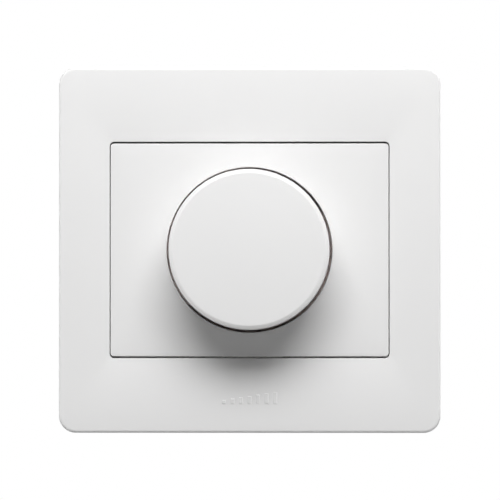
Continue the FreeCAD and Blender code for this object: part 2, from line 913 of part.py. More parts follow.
def make_spindle():
    """The spindle: round in the bushing, flatted in the hub and in the rotor."""
    profile = [
        (0, spindle_back),
        (s.spindle_radius, spindle_back),
        (s.spindle_radius, collar_back),
        (s.spindle_collar, collar_back),
        (s.spindle_collar, collar_front),
        (s.spindle_radius, collar_front),
        (s.spindle_radius, spindle_end),
        (0, spindle_end),
    ]
    body = turned("spindle", profile)
    reach = 2 * s.spindle_radius
    flats = [
        ("front_flat", hub_end - s.end_play, spindle_end),
        ("rear_flat", spindle_back, collar_back),
    ]
    for name, start, end in flats:
        sketch = new_sketch(body, name + "_outline", offset=start)
        add_rectangle(sketch, (-reach, reach), (-reach, -s.spindle_flat))
        pocket(body, name, sketch, end - start, reverse=True)


def make_bushing():
    """The threaded bushing, whose flange lies against the back of the steel plate."""
    bore = s.spindle_radius + s.running_clearance
    profile = [
        (bore, can_front),
        (s.bushing_flange_radius, can_front),
        (s.bushing_flange_radius, 0),
        (s.bushing_radius, 0),
        (s.bushing_radius, bushing_end),
        (bore, bushing_end),
    ]
    turned("threaded_bushing", profile)


def make_washer():
    thread = s.bushing_radius + s.thread_clearance
    profile = [
        (thread, steel_front),
        (s.washer_radius, steel_front),
        (s.washer_radius, steel_front + s.washer_gauge),
        (thread, steel_front + s.washer_gauge),
    ]
    turned("bushing_washer", profile)


def make_bushing_nut():
    """The hexagon nut that clamps the bushing to the steel plate."""
    body = new_body("bushing_nut")
    sketch = new_sketch(body, "nut_outline", offset=nut_front - s.nut_thickness)
    radius = s.nut_across_flats / math.sqrt(3)
    turns = [math.radians(60 * i) for i in range(6)]
    add_polygon(sketch, [(radius * math.cos(t), radius * math.sin(t)) for t in turns])
    add_circle(sketch, s.bushing_radius + s.thread_clearance)
    pad(body, "nut_block", sketch, s.nut_thickness)


def make_ring_nut():
    """The notched nut that holds the centre plate down on the hexagon nut."""
    thread = s.bushing_radius + s.thread_clearance
    flange_front = well_floor_front + s.ring_nut_flange
    profile = [
        (thread, well_floor_front),
        (s.ring_nut_radius, well_floor_front),
        (s.ring_nut_radius, flange_front),
        (s.ring_nut_neck, flange_front),
        (s.ring_nut_neck, ring_nut_front),
        (thread, ring_nut_front),
    ]
    body = turned("cover_ring_nut", profile)
    notch = new_sketch(body, "ring_notch_outline", offset=ring_nut_front)
    inner = (s.bushing_radius + s.ring_nut_neck) / 2
    half = s.ring_nut_notch / 2
    add_rectangle(notch, (inner, s.ring_nut_radius), (-half, half))
    first = pocket(body, "ring_notch", notch, ring_nut_front - flange_front)
    repeat_round_axis(body, "ring_notches", first, RING_NUT_NOTCHES)


# Steel mounting plate: stamped, with tabs bent forward and ears bent back


def make_mounting_plate():
    body = new_body("mounting_plate")
    half = steel_size / 2
    low, high = s.tab_offset - s.tab_width / 2, s.tab_offset + s.tab_width / 2
    quarter = [
        (half, low),
        (tab_outer, low),
        (tab_outer, high),
        (half, high),
        (half, half - s.steel_corner),
        (half - s.steel_corner, half),
    ]
    corners = list(quarter)
    corners += [(-x, z) for x, z in reversed(quarter)]
    corners += [(-x, -z) for x, z in quarter]
    corners += [(x, -z) for x, z in reversed(quarter)]
    outline = new_sketch(body, "steel_outline")
    add_polygon(outline, corners)
    pad(body, "steel_sheet", outline, s.steel_gauge)
    collars = new_sketch(body, "drawn_collar_outlines")
    for side in (-1, 1):
        add_circle(collars, s.drawn_collar_radius, side * s.claw_screw_place)
    pad(body, "drawn_collars", collars, s.drawn_collar_length, reverse=True)
    cut_plate_holes(body)
    add_frame_tabs(body, low, high)
    add_claw_ears(body)


def cut_plate_holes(body):
    sketch = new_sketch(body, "steel_hole_outlines", offset=steel_front)
    add_circle(sketch, s.bushing_radius + s.hole_clearance)
    place = s.box_pitch / 2
    for side in (-1, 1):
        add_slot(sketch, s.slot_length, s.slot_width, side * place, 0, False)
        add_slot(sketch, s.slot_length, s.slot_width, 0, side * place, True)
        for up in (-1, 1):
            radius = s.housing_screw_radius + s.hole_clearance
            add_circle(sketch, radius, side * s.boss_across, up * s.boss_up)
    rivet_hole = s.rivet_radius + s.thread_clearance
    add_circle(sketch, rivet_hole, s.triac_across, rivet_z)
    pocket(body, "steel_holes", sketch, s.steel_gauge)
    threads = new_sketch(body, "claw_thread_outlines", offset=steel_front)
    for side in (-1, 1):
        radius = s.claw_screw_radius + s.thread_clearance
        add_circle(threads, radius, side * s.claw_screw_place)
    pocket(body, "claw_threads", threads, s.steel_gauge + s.drawn_collar_length)


def add_frame_tabs(body, low, high):
    """Tabs at the sides, with windows that the frame's barbs snap into."""
    sketch = new_sketch(body, "tab_outlines")
    windows = new_sketch(body, "window_outlines", offset=steel_front + s.window_sill)
    for up in (-1, 1):
        for side in (-1, 1):
            x_ends = (side * tab_inner, side * tab_outer)
            add_rectangle(sketch, x_ends, (up * low, up * high))
            middle = side * (tab_inner + tab_outer) / 2
            add_centred_rectangle(
                windows, 2 * s.steel_gauge, s.window_width, middle, up * s.tab_offset
            )
    pad(body, "tabs", sketch, steel_front + s.tab_height)
    pocket(body, "tab_windows", windows, s.window_height, reverse=True)


def add_claw_ears(body):
    """Ears bent back from the sheet, two at each side, that carry a claw's pin."""
    inner = s.ear_gap / 2
    outer = inner + s.ear_gauge
    far = outer + s.ear_length
    sketch = new_sketch(body, "ear_outlines", offset=steel_front)
    blanks = new_sketch(body, "ear_blank_outlines", offset=steel_front)
    for side in (-1, 1):
        middle = side * s.pivot_place
        x_ends = (middle - s.ear_width / 2, middle + s.ear_width / 2)
        for up in (-1, 1):
            add_rectangle(sketch, x_ends, (up * inner, up * outer))
            add_rectangle(blanks, x_ends, (up * outer, up * far))
    pad(body, "ears", sketch, s.steel_gauge + s.ear_length, reverse=True)
    pocket(body, "ear_blanks", blanks, s.steel_gauge)
    pins = new_sketch(body, "ear_pin_outlines", "XY_Plane")
    for side in (-1, 1):
        radius = s.pivot_radius + s.running_clearance
        add_circle(pins, radius, side * s.pivot_place, s.pivot_depth)
    pocket(body, "ear_pin_holes", pins, 2 * far, symmetric=True)


def make_claw(name, side):
    """A bell crank of folded steel: a pad under the screw and a toothed foot."""
    body = new_body(name + "_claw")
    face = s.pivot_place + s.claw_gauge
    inner_end = s.claw_screw_place - s.claw_screw_tip - s.contact_gap
    pad_back = s.claw_pad_depth + s.claw_gauge
    teeth_start = s.claw_length - CLAW_TEETH * s.claw_tooth_pitch
    corners = [
        (inner_end, s.claw_pad_depth),
        (face, s.claw_pad_depth),
        (face, teeth_start),
    ]
    for i in range(CLAW_TEETH):
        tip = teeth_start + (i + 0.5) * s.claw_tooth_pitch
        root = teeth_start + (i + 1) * s.claw_tooth_pitch
        corners += [(face + s.claw_tooth, tip), (face, root)]
    corners += [(s.pivot_place, s.claw_length), (s.pivot_place, pad_back)]
    corners += [(inner_end, pad_back)]
    strip = new_sketch(body, name + "_claw_outline", "XY_Plane")
    add_polygon(strip, [(side * x, y) for x, y in corners])
    pad(body, name + "_claw_strip", strip, s.claw_width, symmetric=True)
    half = s.claw_width / 2
    x_ends = (side * (s.pivot_place - s.cheek_margin), side * face)
    y_ends = (s.pivot_depth - s.pivot_radius - s.claw_gauge / 2, pad_back)
    for word, start in (("lower", -half), ("upper", half - s.cheek_gauge)):
        label = "{}_{}_cheek".format(name, word)
        cheek = new_sketch(body, label + "_outline", "XY_Plane", start)
        add_rectangle(cheek, x_ends, y_ends)
        pad(body, label, cheek, s.cheek_gauge)
    hole = new_sketch(body, name + "_claw_hole_outline", "XY_Plane")
    radius = s.pivot_radius + s.running_clearance
    add_circle(hole, radius, side * s.pivot_place, s.pivot_depth)
    pocket(body, name + "_claw_hole", hole, 2 * s.claw_width, symmetric=True)


def make_claw_pin(name, side):
    reach = s.ear_gap / 2 + s.ear_gauge + s.end_play
    start = (side * s.pivot_place, -s.pivot_depth, -reach)
    pin = rod(name + "_claw_pin", s.pivot_radius, start, 2 * reach, "z")
    named(pin, name + "_claw_pin")


def make_claw_screw(name, side):
    """The slotted screw that presses a claw's pad away from the steel plate."""
    tip = s.contact_gap - s.claw_pad_depth
    shoulder = tip + s.claw_screw_tip_length
    head = steel_front + s.claw_screw_stand
    top = head + s.claw_screw_head_height
    profile = [
        (0, tip),
        (s.claw_screw_tip, tip),
        (s.claw_screw_radius, shoulder),
        (s.claw_screw_radius, head),
        (s.claw_screw_head, head),
        (s.claw_screw_head, top),
        (0, top),
    ]
    body = turned(name + "_claw_screw", profile, side * s.claw_screw_place)
    slot = new_sketch(body, name + "_claw_drive_outline", offset=top)
    add_centred_rectangle(slot, 3 * s.claw_screw_head, s.claw_screw_slot)
    pocket(body, name + "_claw_drive", slot, s.claw_screw_slot)


# Mechanism housing and its screws


def make_housing():
    """A moulded cup with screw bosses, board posts and a chamber for the terminals."""
    body = new_body("rear_housing")
    width, height = s.housing_width, s.housing_height
    outline = new_sketch(body, "housing_outline", offset=housing_back)
    add_rounded_rectangle(outline, width, height, s.housing_corner)
    pad(body, "housing_block", outline, -housing_back)
    round_front_edges(
        body, "housing_round", s.housing_edge, width, height, housing_back
    )
    hollow = new_sketch(body, "housing_hollow_outline")
    corner = s.housing_corner - s.housing_wall
    add_rounded_rectangle(hollow, housing_inner_width, housing_inner_height, corner)
    pocket(body, "housing_hollow", hollow, -housing_floor)
    add_bosses_and_posts(body)
    add_terminal_chamber(body)


def add_bosses_and_posts(body):
    posts = new_sketch(body, "post_outlines", offset=housing_floor)
    bosses = new_sketch(body, "boss_outlines", offset=housing_floor)
    bores = new_sketch(body, "boss_bore_outlines")
    bore = s.housing_screw_radius + s.thread_clearance
    for side in (-1, 1):
        add_circle(posts, s.post_radius, side * s.post_across, s.post_high)
        add_circle(posts, s.post_radius, side * s.post_across, -s.post_low)
        for up in (-1, 1):
            x, z = side * s.boss_across, up * s.boss_up
            add_circle(bosses, s.boss_radius, x, z)
            add_circle(bores, bore, x, z)
    pad(body, "bosses", bosses, -housing_floor)
    pad(body, "posts", posts, board_back - housing_floor)
    pocket(body, "boss_bores", bores, s.housing_screw_length + s.end_play)


def add_terminal_chamber(body):
    """A shelf, dividers, square wire entries and round holes for the screws."""
    floor_z = -housing_inner_height / 2
    reach = (TERMINALS * terminal_pitch + s.divider_wall) / 2
    shelf = new_sketch(body, "shelf_outline", offset=housing_floor)
    add_rectangle(shelf, (-reach, reach), (cage_top + s.contact_gap, shelf_top))
    pad(body, "shelf", shelf, board_front - housing_floor)
    walls = new_sketch(body, "divider_outlines", offset=housing_floor)
    for i in range(TERMINALS + 1):
        middle = (i - TERMINALS / 2) * terminal_pitch
        x_ends = (middle - s.divider_wall / 2, middle + s.divider_wall / 2)
        add_rectangle(walls, x_ends, (floor_z, shelf_top))
    pad(body, "dividers", walls, board_front + s.divider_proud - housing_floor)
    entries = new_sketch(body, "entry_outlines", offset=housing_floor)
    screws = new_sketch(body, "terminal_hole_outlines", "XY_Plane", floor_z)
    radius = s.terminal_head_radius + s.terminal_head_clearance
    for i in range(TERMINALS):
        x = terminal_x(i)
        size = s.entry_size
        add_centred_rectangle(entries, size, size, x, entry_middle)
        add_circle(screws, radius, x, -terminal_screw_out)
    pocket(body, "entries", entries, s.housing_wall)
    pocket(body, "terminal_holes", screws, s.housing_wall)


def make_housing_screws():
    """Four screws through the steel plate into the housing's bosses."""
    body = new_body("housing_screws")
    head = steel_front + s.housing_screw_head_height
    heads = new_sketch(body, "housing_head_outlines", offset=steel_front)
    shanks = new_sketch(body, "housing_shank_outlines", offset=steel_front)
    slots = new_sketch(body, "housing_drive_outlines", offset=head)
    for side in (-1, 1):
        for up in (-1, 1):
            x, z = side * s.boss_across, up * s.boss_up
            add_circle(heads, s.housing_screw_head, x, z)
            add_circle(shanks, s.housing_screw_radius, x, z)
            width = 3 * s.housing_screw_head
            add_centred_rectangle(slots, width, s.drive_slot, x, z)
    pad(body, "housing_heads", heads, s.housing_screw_head_height)
    length = steel_front + s.housing_screw_length
    pad(body, "housing_shanks", shanks, length, reverse=True)
    pocket(body, "housing_drives", slots, s.drive_slot)


# Terminals: a brass cage, a screw and a link to the board for each wire


def terminal_x(i):
    return (i - (TERMINALS - 1) / 2) * terminal_pitch


def make_terminal(i):
    x = terminal_x(i)
    cage = "terminal_cage_{}".format(i + 1)
    outs = (housing_floor, board_front)
    x_ends = (x - cage_width / 2, x + cage_width / 2)
    outer = block(cage + "_outer", x_ends, outs, (cage_bottom, cage_top))
    size = (s.entry_size, s.entry_size)
    channel = centred_block(cage + "_channel", (x, entry_middle), size, outs)
    radius = s.terminal_screw_radius + s.thread_clearance
    start = (x, terminal_screw_out, cage_bottom)
    thread = rod(cage + "_thread", radius, start, s.cage_base, "z")
    named(cut(cage, outer, [channel, thread]), cage)
    link = "terminal_link_{}".format(i + 1)
    outs = (board_front, board_front + s.link_gauge)
    x_ends = (x - s.link_width / 2, x + s.link_width / 2)
    z_ends = (entry_top - s.link_overlap, link_top)
    named(block(link, x_ends, outs, z_ends), link)


def make_terminal_screws():
    """Three screws under the cages, sunk in the housing's lower wall."""
    body = new_body("terminal_screws")
    head_top = terminal_head_base + s.terminal_head_height
    heads = new_sketch(body, "terminal_head_outlines", "XY_Plane", terminal_head_base)
    shanks = new_sketch(body, "terminal_shank_outlines", "XY_Plane", head_top)
    slots = new_sketch(body, "terminal_drive_outlines", "XY_Plane", terminal_head_base)
    for i in range(TERMINALS):
        x, y = terminal_x(i), -terminal_screw_out
        add_circle(heads, s.terminal_head_radius, x, y)
        add_circle(shanks, s.terminal_screw_radius, x, y)
        width = 2 * (s.terminal_head_radius + s.drive_slot)
        add_centred_rectangle(slots, width, s.drive_slot, x, y)
    pad(body, "terminal_heads", heads, s.terminal_head_height)
    pad(body, "terminal_shanks", shanks, entry_base - head_top)
    pocket(body, "terminal_drives", slots, s.drive_slot, reverse=True)


# Dimmer control: a can with a resistance track, a rotor and a wiper


def lug_angles():
    """Where the rotor's lug points at its two stops, in degrees up from +X."""
    half = plain(s.turn_degrees) / 2
    return 90 + half, 90 - half


def make_control_can():
    """A drawn cup behind the bushing, with two stops for the rotor's lug."""
    inside = can_front - s.can_gauge
    profile = [
        (spindle_hole, can_front),
        (spindle_hole, inside),
        (can_inner_radius, inside),
        (can_inner_radius, can_back),
        (s.can_radius, can_back),
        (s.can_radius, can_front),
    ]
    body = turned("control_can", profile)
    stops = new_sketch(body, "stop_outlines", offset=rotor_back)
    inner = s.rotor_radius + 2 * s.rotor_clearance
    outer = can_inner_radius + s.can_gauge / 2
    width = plain(s.stop_degrees)
    away = (plain(s.rotor_lug_degrees) + width) / 2 + plain(s.stop_play_degrees)
    start, end = lug_angles()
    for middle in (start + away, end - away):
        add_polygon(stops, sector_corners(inner, outer, middle, width))
    pad(body, "stops", stops, inside - rotor_back)


def make_track():
    """The insulating disc that closes the can and carries the resistance track."""
    radius = can_inner_radius - s.contact_gap
    profile = [
        (spindle_hole, can_back),
        (radius, can_back),
        (radius, track_front),
        (spindle_hole, track_front),
    ]
    turned("resistance_track", profile)


def make_rotor():
    body = new_body("control_rotor")
    disc = new_sketch(body, "rotor_outline", offset=rotor_back)
    add_circle(disc, s.rotor_radius)
    pad(body, "rotor_disc", disc, s.rotor_gauge)
    lug = new_sketch(body, "rotor_lug_outline", offset=rotor_back)
    middle, width = lug_angles()[0], plain(s.rotor_lug_degrees)
    inner, outer = s.rotor_radius - s.rotor_lug, s.rotor_radius + s.rotor_lug
    add_polygon(lug, sector_corners(inner, outer, middle, width))
    pad(body, "rotor_lug", lug, s.rotor_gauge)
    bore = new_sketch(body, "rotor_bore_outline", offset=rotor_back)
    clearance = s.running_clearance
    add_flatted_circle(bore, s.spindle_radius + clearance, s.spindle_flat + clearance)
    pocket(body, "rotor_bore", bore, s.rotor_gauge, reverse=True)


def make_wiper():
    """A folded leaf of spring bronze on the rotor's back, touching the track."""
    body = new_body("control_wiper")
    sketch = new_sketch(body, "wiper_outline", "YZ_Plane", -s.wiper_width / 2)
    leaf = rotor_back - s.wiper_gauge
    touch = track_front + s.contact_gap / 2
    corners = [
        (s.wiper_start, rotor_back),
        (s.wiper_end, rotor_back),
        (s.wiper_end, leaf - s.wiper_gauge),
        (s.wiper_start + s.wiper_gauge, touch),
        (s.wiper_start, touch + s.wiper_gauge),
        (s.wiper_end - s.wiper_gauge, leaf),
        (s.wiper_start, leaf),
    ]
    add_polygon(sketch, [(-out, z) for z, out in corners])
    pad(body, "wiper_leaf", sketch, s.wiper_width)


# Push switch behind the control


def make_switch_case():
    """An open box behind the control, just clear of the middle terminal's link."""
    body = new_body("switch_case")
    outline = new_sketch(body, "case_outline", offset=board_front)
    add_centred_rectangle(outline, s.switch_width, switch_height)
    pad(body, "case_block", outline, can_back - board_front)
    hollow = new_sketch(body, "case_hollow_outline", offset=can_back)
    inner_width = s.switch_width - 2 * s.switch_wall
    inner_height = switch_height - 2 * s.switch_wall
    add_centred_rectangle(hollow, inner_width, inner_height)
    pocket(body, "case_hollow", hollow, can_back - switch_floor)
    cut_contact_holes(body, "case_contact_holes", switch_floor, s.switch_wall)


def cut_contact_holes(body, name, start, depth):
    sketch = new_sketch(body, name + "_outline", offset=start)
    size = s.contact_size + 2 * s.lead_clearance
    for side in (-1, 1):
        x = side * s.contact_across
        add_centred_rectangle(sketch, size, size, x, -s.blade_drop)
    pocket(body, name, sketch, depth)


def make_fixed_contacts():
    """Two posts that stand up from the board into the switch case."""
    body = new_body("fixed_contacts")
    start = board_back - s.contact_tail
    end = plunger_back - s.blade_gauge - s.knob_travel - s.contact_gap
    sketch = new_sketch(body, "contact_outlines", offset=start)
    for side in (-1, 1):
        x = side * s.contact_across
        add_centred_rectangle(sketch, s.contact_size, s.contact_size, x, -s.blade_drop)
    pad(body, "contact_posts", sketch, end - start)


def make_plunger():
    """The slider that the spindle's end pushes in."""
    body = new_body("switch_plunger")
    plate = new_sketch(body, "plunger_outline", offset=plunger_back)
    add_centred_rectangle(plate, s.plunger_size, s.plunger_size)
    pad(body, "plunger_plate", plate, s.plunger_gauge)
    stem = new_sketch(body, "plunger_stem_outline", offset=plunger_shoulder)
    add_circle(stem, s.plunger_radius)
    pad(body, "plunger_stalk", stem, s.plunger_stem)


def make_contact_blade():
    outs = (plunger_back - s.blade_gauge, plunger_back)
    size = (s.blade_length, s.blade_width)
    blade = centred_block("contact_blade", (0, -s.blade_drop), size, outs)
    named(blade, "contact_blade")


def make_spring():
    """The coil spring that pushes the plunger, and so the knob, back out."""
    body = new_body("return_spring")
    sketch = new_sketch(body, "spring_wire_outline", "XY_Plane")
    start = switch_floor + s.spring_wire
    add_circle(sketch, s.spring_wire, s.spring_radius, -start)
    coil = body.newObject("PartDesign::AdditiveHelix", "spring_coil")
    coil.Profile = sketch
    coil.ReferenceAxis = (sketch, ["V_Axis"])
    coil.Mode = "height-turns-angle"
    bind(coil, "Height", plunger_back - switch_floor - 2 * s.spring_wire)
    bind(coil, "Turns", s.spring_turns)
    coil.Angle = 0
    coil.Reversed = True


# Circuit board and what stands on it


def triac_lead_places():
    return [s.triac_across + i * s.triac_lead_pitch for i in (-1, 0, 1)]


def make_board():
    body = new_body("circuit_board")
    outline = new_sketch(body, "board_outline", offset=board_back)
    half = s.board_width / 2
    right = [
        (half, board_bottom),
        (half, s.board_notch_up),
        (s.board_notch_across, s.board_notch_up),
        (s.board_notch_across, s.board_high),
    ]
    add_polygon(outline, right + [(-x, z) for x, z in reversed(right)])
    pad(body, "board_sheet", outline, s.board_gauge)
    cut_contact_holes(body, "board_contact_holes", board_front, s.board_gauge)
    leads = new_sketch(body, "board_lead_outlines", offset=board_front)
    size = s.triac_lead + 2 * s.lead_clearance
    for x in triac_lead_places():
        add_centred_rectangle(leads, size, size, x, triac_lead_z)
    pocket(body, "board_lead_holes", leads, s.board_gauge)


def make_triac():
    """The semiconductor switch, whose metal tab lies on a pad behind the plate."""
    x_ends = (s.triac_across - s.triac_width / 2, s.triac_across + s.triac_width / 2)
    tab_back = triac_back - s.triac_tab_gauge
    middle = triac_top - s.triac_body
    z_ends = (-s.triac_low, middle)
    pieces = [block("triac_tab_plate", x_ends, (tab_back, triac_back), z_ends)]
    outs = (triac_back - s.triac_body_gauge, triac_back)
    pieces.append(block("triac_moulding", x_ends, outs, (middle, triac_top)))
    level = -s.triac_lead_level
    low, high = triac_lead_z - s.triac_lead / 2, triac_lead_z + s.triac_lead / 2
    for i, x in enumerate(triac_lead_places(), 1):
        x_lead = (x - s.triac_lead / 2, x + s.triac_lead / 2)
        outs = (level - s.triac_lead_gauge, level)
        pieces.append(block("triac_lead_{}".format(i), x_lead, outs, (triac_top, high)))
        outs = (board_back - s.contact_tail, level)
        pieces.append(block("triac_leg_{}".format(i), x_lead, outs, (low, high)))
    radius = s.rivet_radius + s.thread_clearance
    start = (s.triac_across, tab_back, rivet_z)
    hole = rod("triac_hole", radius, start, s.triac_tab_gauge, "out")
    named(cut("triac", fuse("triac_pieces", pieces), [hole]), "triac")


def make_heat_pad():
    """The thin insulating pad between the semiconductor switch and the plate."""
    half = s.triac_width / 2 + s.heat_pad_margin
    x_ends = (s.triac_across - half, s.triac_across + half)
    z_ends = (-s.triac_low - s.heat_pad_margin, triac_top + s.heat_pad_margin)
    sheet = block("heat_pad_sheet", x_ends, (triac_back, 0), z_ends)
    radius = s.rivet_radius + s.thread_clearance
    start = (s.triac_across, triac_back, rivet_z)
    hole = rod("heat_pad_hole", radius, start, s.heat_pad_gauge, "out")
    named(cut("heat_pad", sheet, [hole]), "heat_pad")


def make_triac_rivet():
    tab_back = triac_back - s.triac_tab_gauge
    profile = [
        (0, tab_back - s.rivet_head_height),
        (s.rivet_head, tab_back - s.rivet_head_height),
        (s.rivet_head, tab_back),
        (s.rivet_radius, tab_back),
        (s.rivet_radius, steel_front),
        (s.rivet_head, steel_front),
        (s.rivet_head, steel_front + s.rivet_head_height),
        (0, steel_front + s.rivet_head_height),
    ]
    body = turned("triac_rivet", profile, s.triac_across)
    bind(body, "Placement.Base.z", rivet_z)


def make_choke():
    """A ring core and its separate turns of wire, lying flat on the board."""
    turn_radius = s.core_section + s.winding_clearance + s.winding_wire
    out = board_front + turn_radius + s.winding_wire + s.winding_clearance
    core = doc.addObject("Part::Torus", "choke_core")
    flat = FreeCAD.Rotation(FreeCAD.Vector(1, 0, 0), 90)
    place_torus(core, s.core_ring, s.core_section, flat, 0, 0, out)
    named(core, "choke_core")
    turns = []
    for i in range(WINDING_TURNS):
        angle = math.radians(360 * i / WINDING_TURNS)
        along = FreeCAD.Vector(-math.sin(angle), 0, math.cos(angle))
        rotation = FreeCAD.Rotation(FreeCAD.Vector(0, 0, 1), along)
        x, z = s.core_ring * math.cos(angle), s.core_ring * math.sin(angle)
        turn = doc.addObject("Part::Torus", "winding_turn_{}".format(i + 1))
        place_torus(turn, turn_radius, s.winding_wire, rotation, x, z, out)
        turns.append(turn)
    named(group("choke_winding", turns), "choke_winding")


def place_torus(torus, ring, section, rotation, x, z, out):
    torus.Placement = FreeCAD.Placement(FreeCAD.Vector(), rotation)
    bind(torus, "Radius1", ring)
    bind(torus, "Radius2", section)
    bind(torus, "Placement.Base.x", x - s.choke_across)
    bind(torus, "Placement.Base.y", -out)
    bind(torus, "Placement.Base.z", z + s.choke_up)


def make_capacitors():
    """The interference capacitor and the smaller timing capacitor."""
    link_side = terminal_x(0) - s.link_width / 2
    large_bottom = board_bottom + s.capacitor_margin
    large_place = (
        link_side - s.capacitor_width / 2,
        large_bottom + s.capacitor_height / 2,
    )
    large_size = (s.capacitor_width, s.capacitor_height)
    small_place = (s.timing_across, s.timing_up)
    small_size = (s.timing_width, s.timing_height)
    blocks = [
        ("suppression_capacitor", large_place, large_size, s.capacitor_tall),
        ("timing_capacitor", small_place, small_size, s.timing_tall),
    ]
    for label, place, size, tall in blocks:
        outs = (board_front, board_front + tall)
        named(centred_block(label, place, size, outs), label)


def make_resistors():
    rods = []
    for i in range(RESISTORS):
        start = (
            s.resistor_across - s.resistor_length / 2,
            board_front + s.resistor_radius,
            s.resistor_up + i * s.resistor_pitch,
        )
        label = "resistor_{}".format(i + 1)
        rods.append(rod(label, s.resistor_radius, start, s.resistor_length, "x"))
    named(group("resistors", rods), "resistors")


def make_trigger_diode():
    start = (-s.trigger_length / 2, board_front + s.trigger_radius, s.trigger_up)
    diode = rod("trigger_diode", s.trigger_radius, start, s.trigger_length, "x")
    named(diode, "trigger_diode")


def make_fuse():
    """A glass cartridge fuse with two metal caps, held by spring clips."""
    out = board_front + s.fuse_clip_gauge + s.fuse_clip_clearance + s.fuse_radius
    half = s.fuse_length / 2
    glass_radius = s.fuse_radius - s.fuse_cap_gauge
    start = (-half, out, s.fuse_up)
    pieces = [rod("fuse_glass", glass_radius, start, s.fuse_length, "x")]
    for word, x in (("left", -half), ("right", half - s.fuse_cap)):
        start = (x, out, s.fuse_up)
        pieces.append(rod("fuse_cap_" + word, s.fuse_radius, start, s.fuse_cap, "x"))
    named(fuse("cartridge_fuse", pieces), "cartridge_fuse")


def make_fuse_clips():
    body = new_body("fuse_clips")
    bases = new_sketch(body, "clip_base_outlines", offset=board_front)
    walls = new_sketch(body, "clip_wall_outlines", offset=board_front)
    inner = s.fuse_radius + s.fuse_clip_clearance
    outer = inner + s.fuse_clip_gauge
    for side in (-1, 1):
        end = side * s.fuse_length / 2
        x_ends = (end - side * s.fuse_clip_length, end)
        add_rectangle(bases, x_ends, (s.fuse_up - outer, s.fuse_up + outer))
        for up in (-1, 1):
            z_ends = (s.fuse_up + up * inner, s.fuse_up + up * outer)
            add_rectangle(walls, x_ends, z_ends)
    pad(body, "clip_bases", bases, s.fuse_clip_gauge)
    pad(body, "clip_walls", walls, s.fuse_clip_height)


make_frame()
make_centre_plate()
make_knob()
make_knob_clip()
make_spindle()
make_bushing()
make_washer()
make_bushing_nut()
make_ring_nut()
make_mounting_plate()
for claw_name, claw_side in (("left", -1), ("right", 1)):
    make_claw(claw_name, claw_side)
    make_claw_pin(claw_name, claw_side)
    make_claw_screw(claw_name, claw_side)
make_housing()
make_housing_screws()
for terminal in range(TERMINALS):
    make_terminal(terminal)
make_terminal_screws()
make_control_can()
make_track()
make_rotor()
make_wiper()
make_switch_case()
make_fixed_contacts()
make_plunger()
make_contact_blade()
make_spring()
make_board()
make_triac()
make_heat_pad()
make_triac_rivet()
make_choke()
make_capacitors()
make_resistors()
make_trigger_diode()
make_fuse()
make_fuse_clips()
doc.recompute()

for obj in doc.Objects:
    if "Invalid" in obj.State or "Error" in obj.State:
        raise RuntimeError("{} failed: {}".format(obj.Label, obj.State))
for obj in sub_parts:
    if obj.Shape.isNull() or not obj.Shape.isValid() or not obj.Shape.Solids:
        raise RuntimeError("{} has no valid solid".format(obj.Label))

os.makedirs("parts", exist_ok=True)
for obj in sub_parts:
    obj.Shape.exportStep("parts/{}.step".format(obj.Label))
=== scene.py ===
import bmesh
import bpy
import json
import math
from functools import partial
from mathutils import Matrix, Vector


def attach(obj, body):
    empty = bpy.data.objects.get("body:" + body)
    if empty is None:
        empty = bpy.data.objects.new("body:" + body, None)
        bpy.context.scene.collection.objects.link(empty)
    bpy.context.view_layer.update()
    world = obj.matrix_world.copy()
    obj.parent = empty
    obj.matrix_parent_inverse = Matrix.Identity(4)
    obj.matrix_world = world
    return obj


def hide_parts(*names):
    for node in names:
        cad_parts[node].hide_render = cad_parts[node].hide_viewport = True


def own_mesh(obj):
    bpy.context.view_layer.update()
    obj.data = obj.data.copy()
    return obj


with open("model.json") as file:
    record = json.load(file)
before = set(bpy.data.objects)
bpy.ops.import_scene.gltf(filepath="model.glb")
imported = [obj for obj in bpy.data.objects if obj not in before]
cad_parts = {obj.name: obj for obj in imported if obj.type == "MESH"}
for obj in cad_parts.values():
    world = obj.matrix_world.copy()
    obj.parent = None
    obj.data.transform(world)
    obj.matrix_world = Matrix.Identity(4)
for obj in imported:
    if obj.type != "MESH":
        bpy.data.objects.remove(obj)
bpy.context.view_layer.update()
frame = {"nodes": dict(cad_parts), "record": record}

# Steel mounting plate
# Stamped from 1 mm sheet and bent, with drawn collars for the claw screws, then bright
# zinc plated. The press leaves its edges slightly round, and the plating shows the
# sheet's rolling lines, a faint cloudiness and a fine crystal grain.

MM = 0.001


def feed(tree, socket, value):
    """Sets a socket, or links it if the value is another node's output."""
    if isinstance(value, bpy.types.NodeSocket):
        tree.links.new(value, socket)
    else:
        socket.default_value = value


def feed_all(tree, node, values):
    """Sets or links a node's inputs by their names."""
    for name, value in values.items():
        feed(tree, node.inputs[name], value)


def put(tree, kind, inputs=None, **settings):
    """Adds a node to a tree, with its settings and its inputs by name."""
    node = tree.nodes.new(kind)
    for name, value in settings.items():
        setattr(node, name, value)
    feed_all(tree, node, inputs or {})
    return node


def new_group(name, kind, inputs, outputs):
    """A node group with sockets of the kinds given, and what its inputs bring."""
    tree = bpy.data.node_groups.new(name, kind)
    for way, sockets in (("INPUT", inputs), ("OUTPUT", outputs)):
        for socket, what in sockets.items():
            tree.interface.new_socket(socket, in_out=way, socket_type="NodeSocket" + what)
    return tree, put(tree, "NodeGroupInput").outputs


def surface_group(name, *amounts):
    """A shader group that gives a surface its colour, roughness and normal."""
    inputs = {"Place": "Vector", "Colour": "Color", **dict.fromkeys(amounts, "Float")}
    outputs = {"Colour": "Color", "Roughness": "Float", "Normal": "Vector"}
    return new_group(name, "ShaderNodeTree", inputs, outputs)


def arithmetic(tree, operation, first, second=0.0):
    node = put(tree, "ShaderNodeMath", operation=operation)
    feed(tree, node.inputs[0], first)
    feed(tree, node.inputs[1], second)
    return node.outputs["Value"]


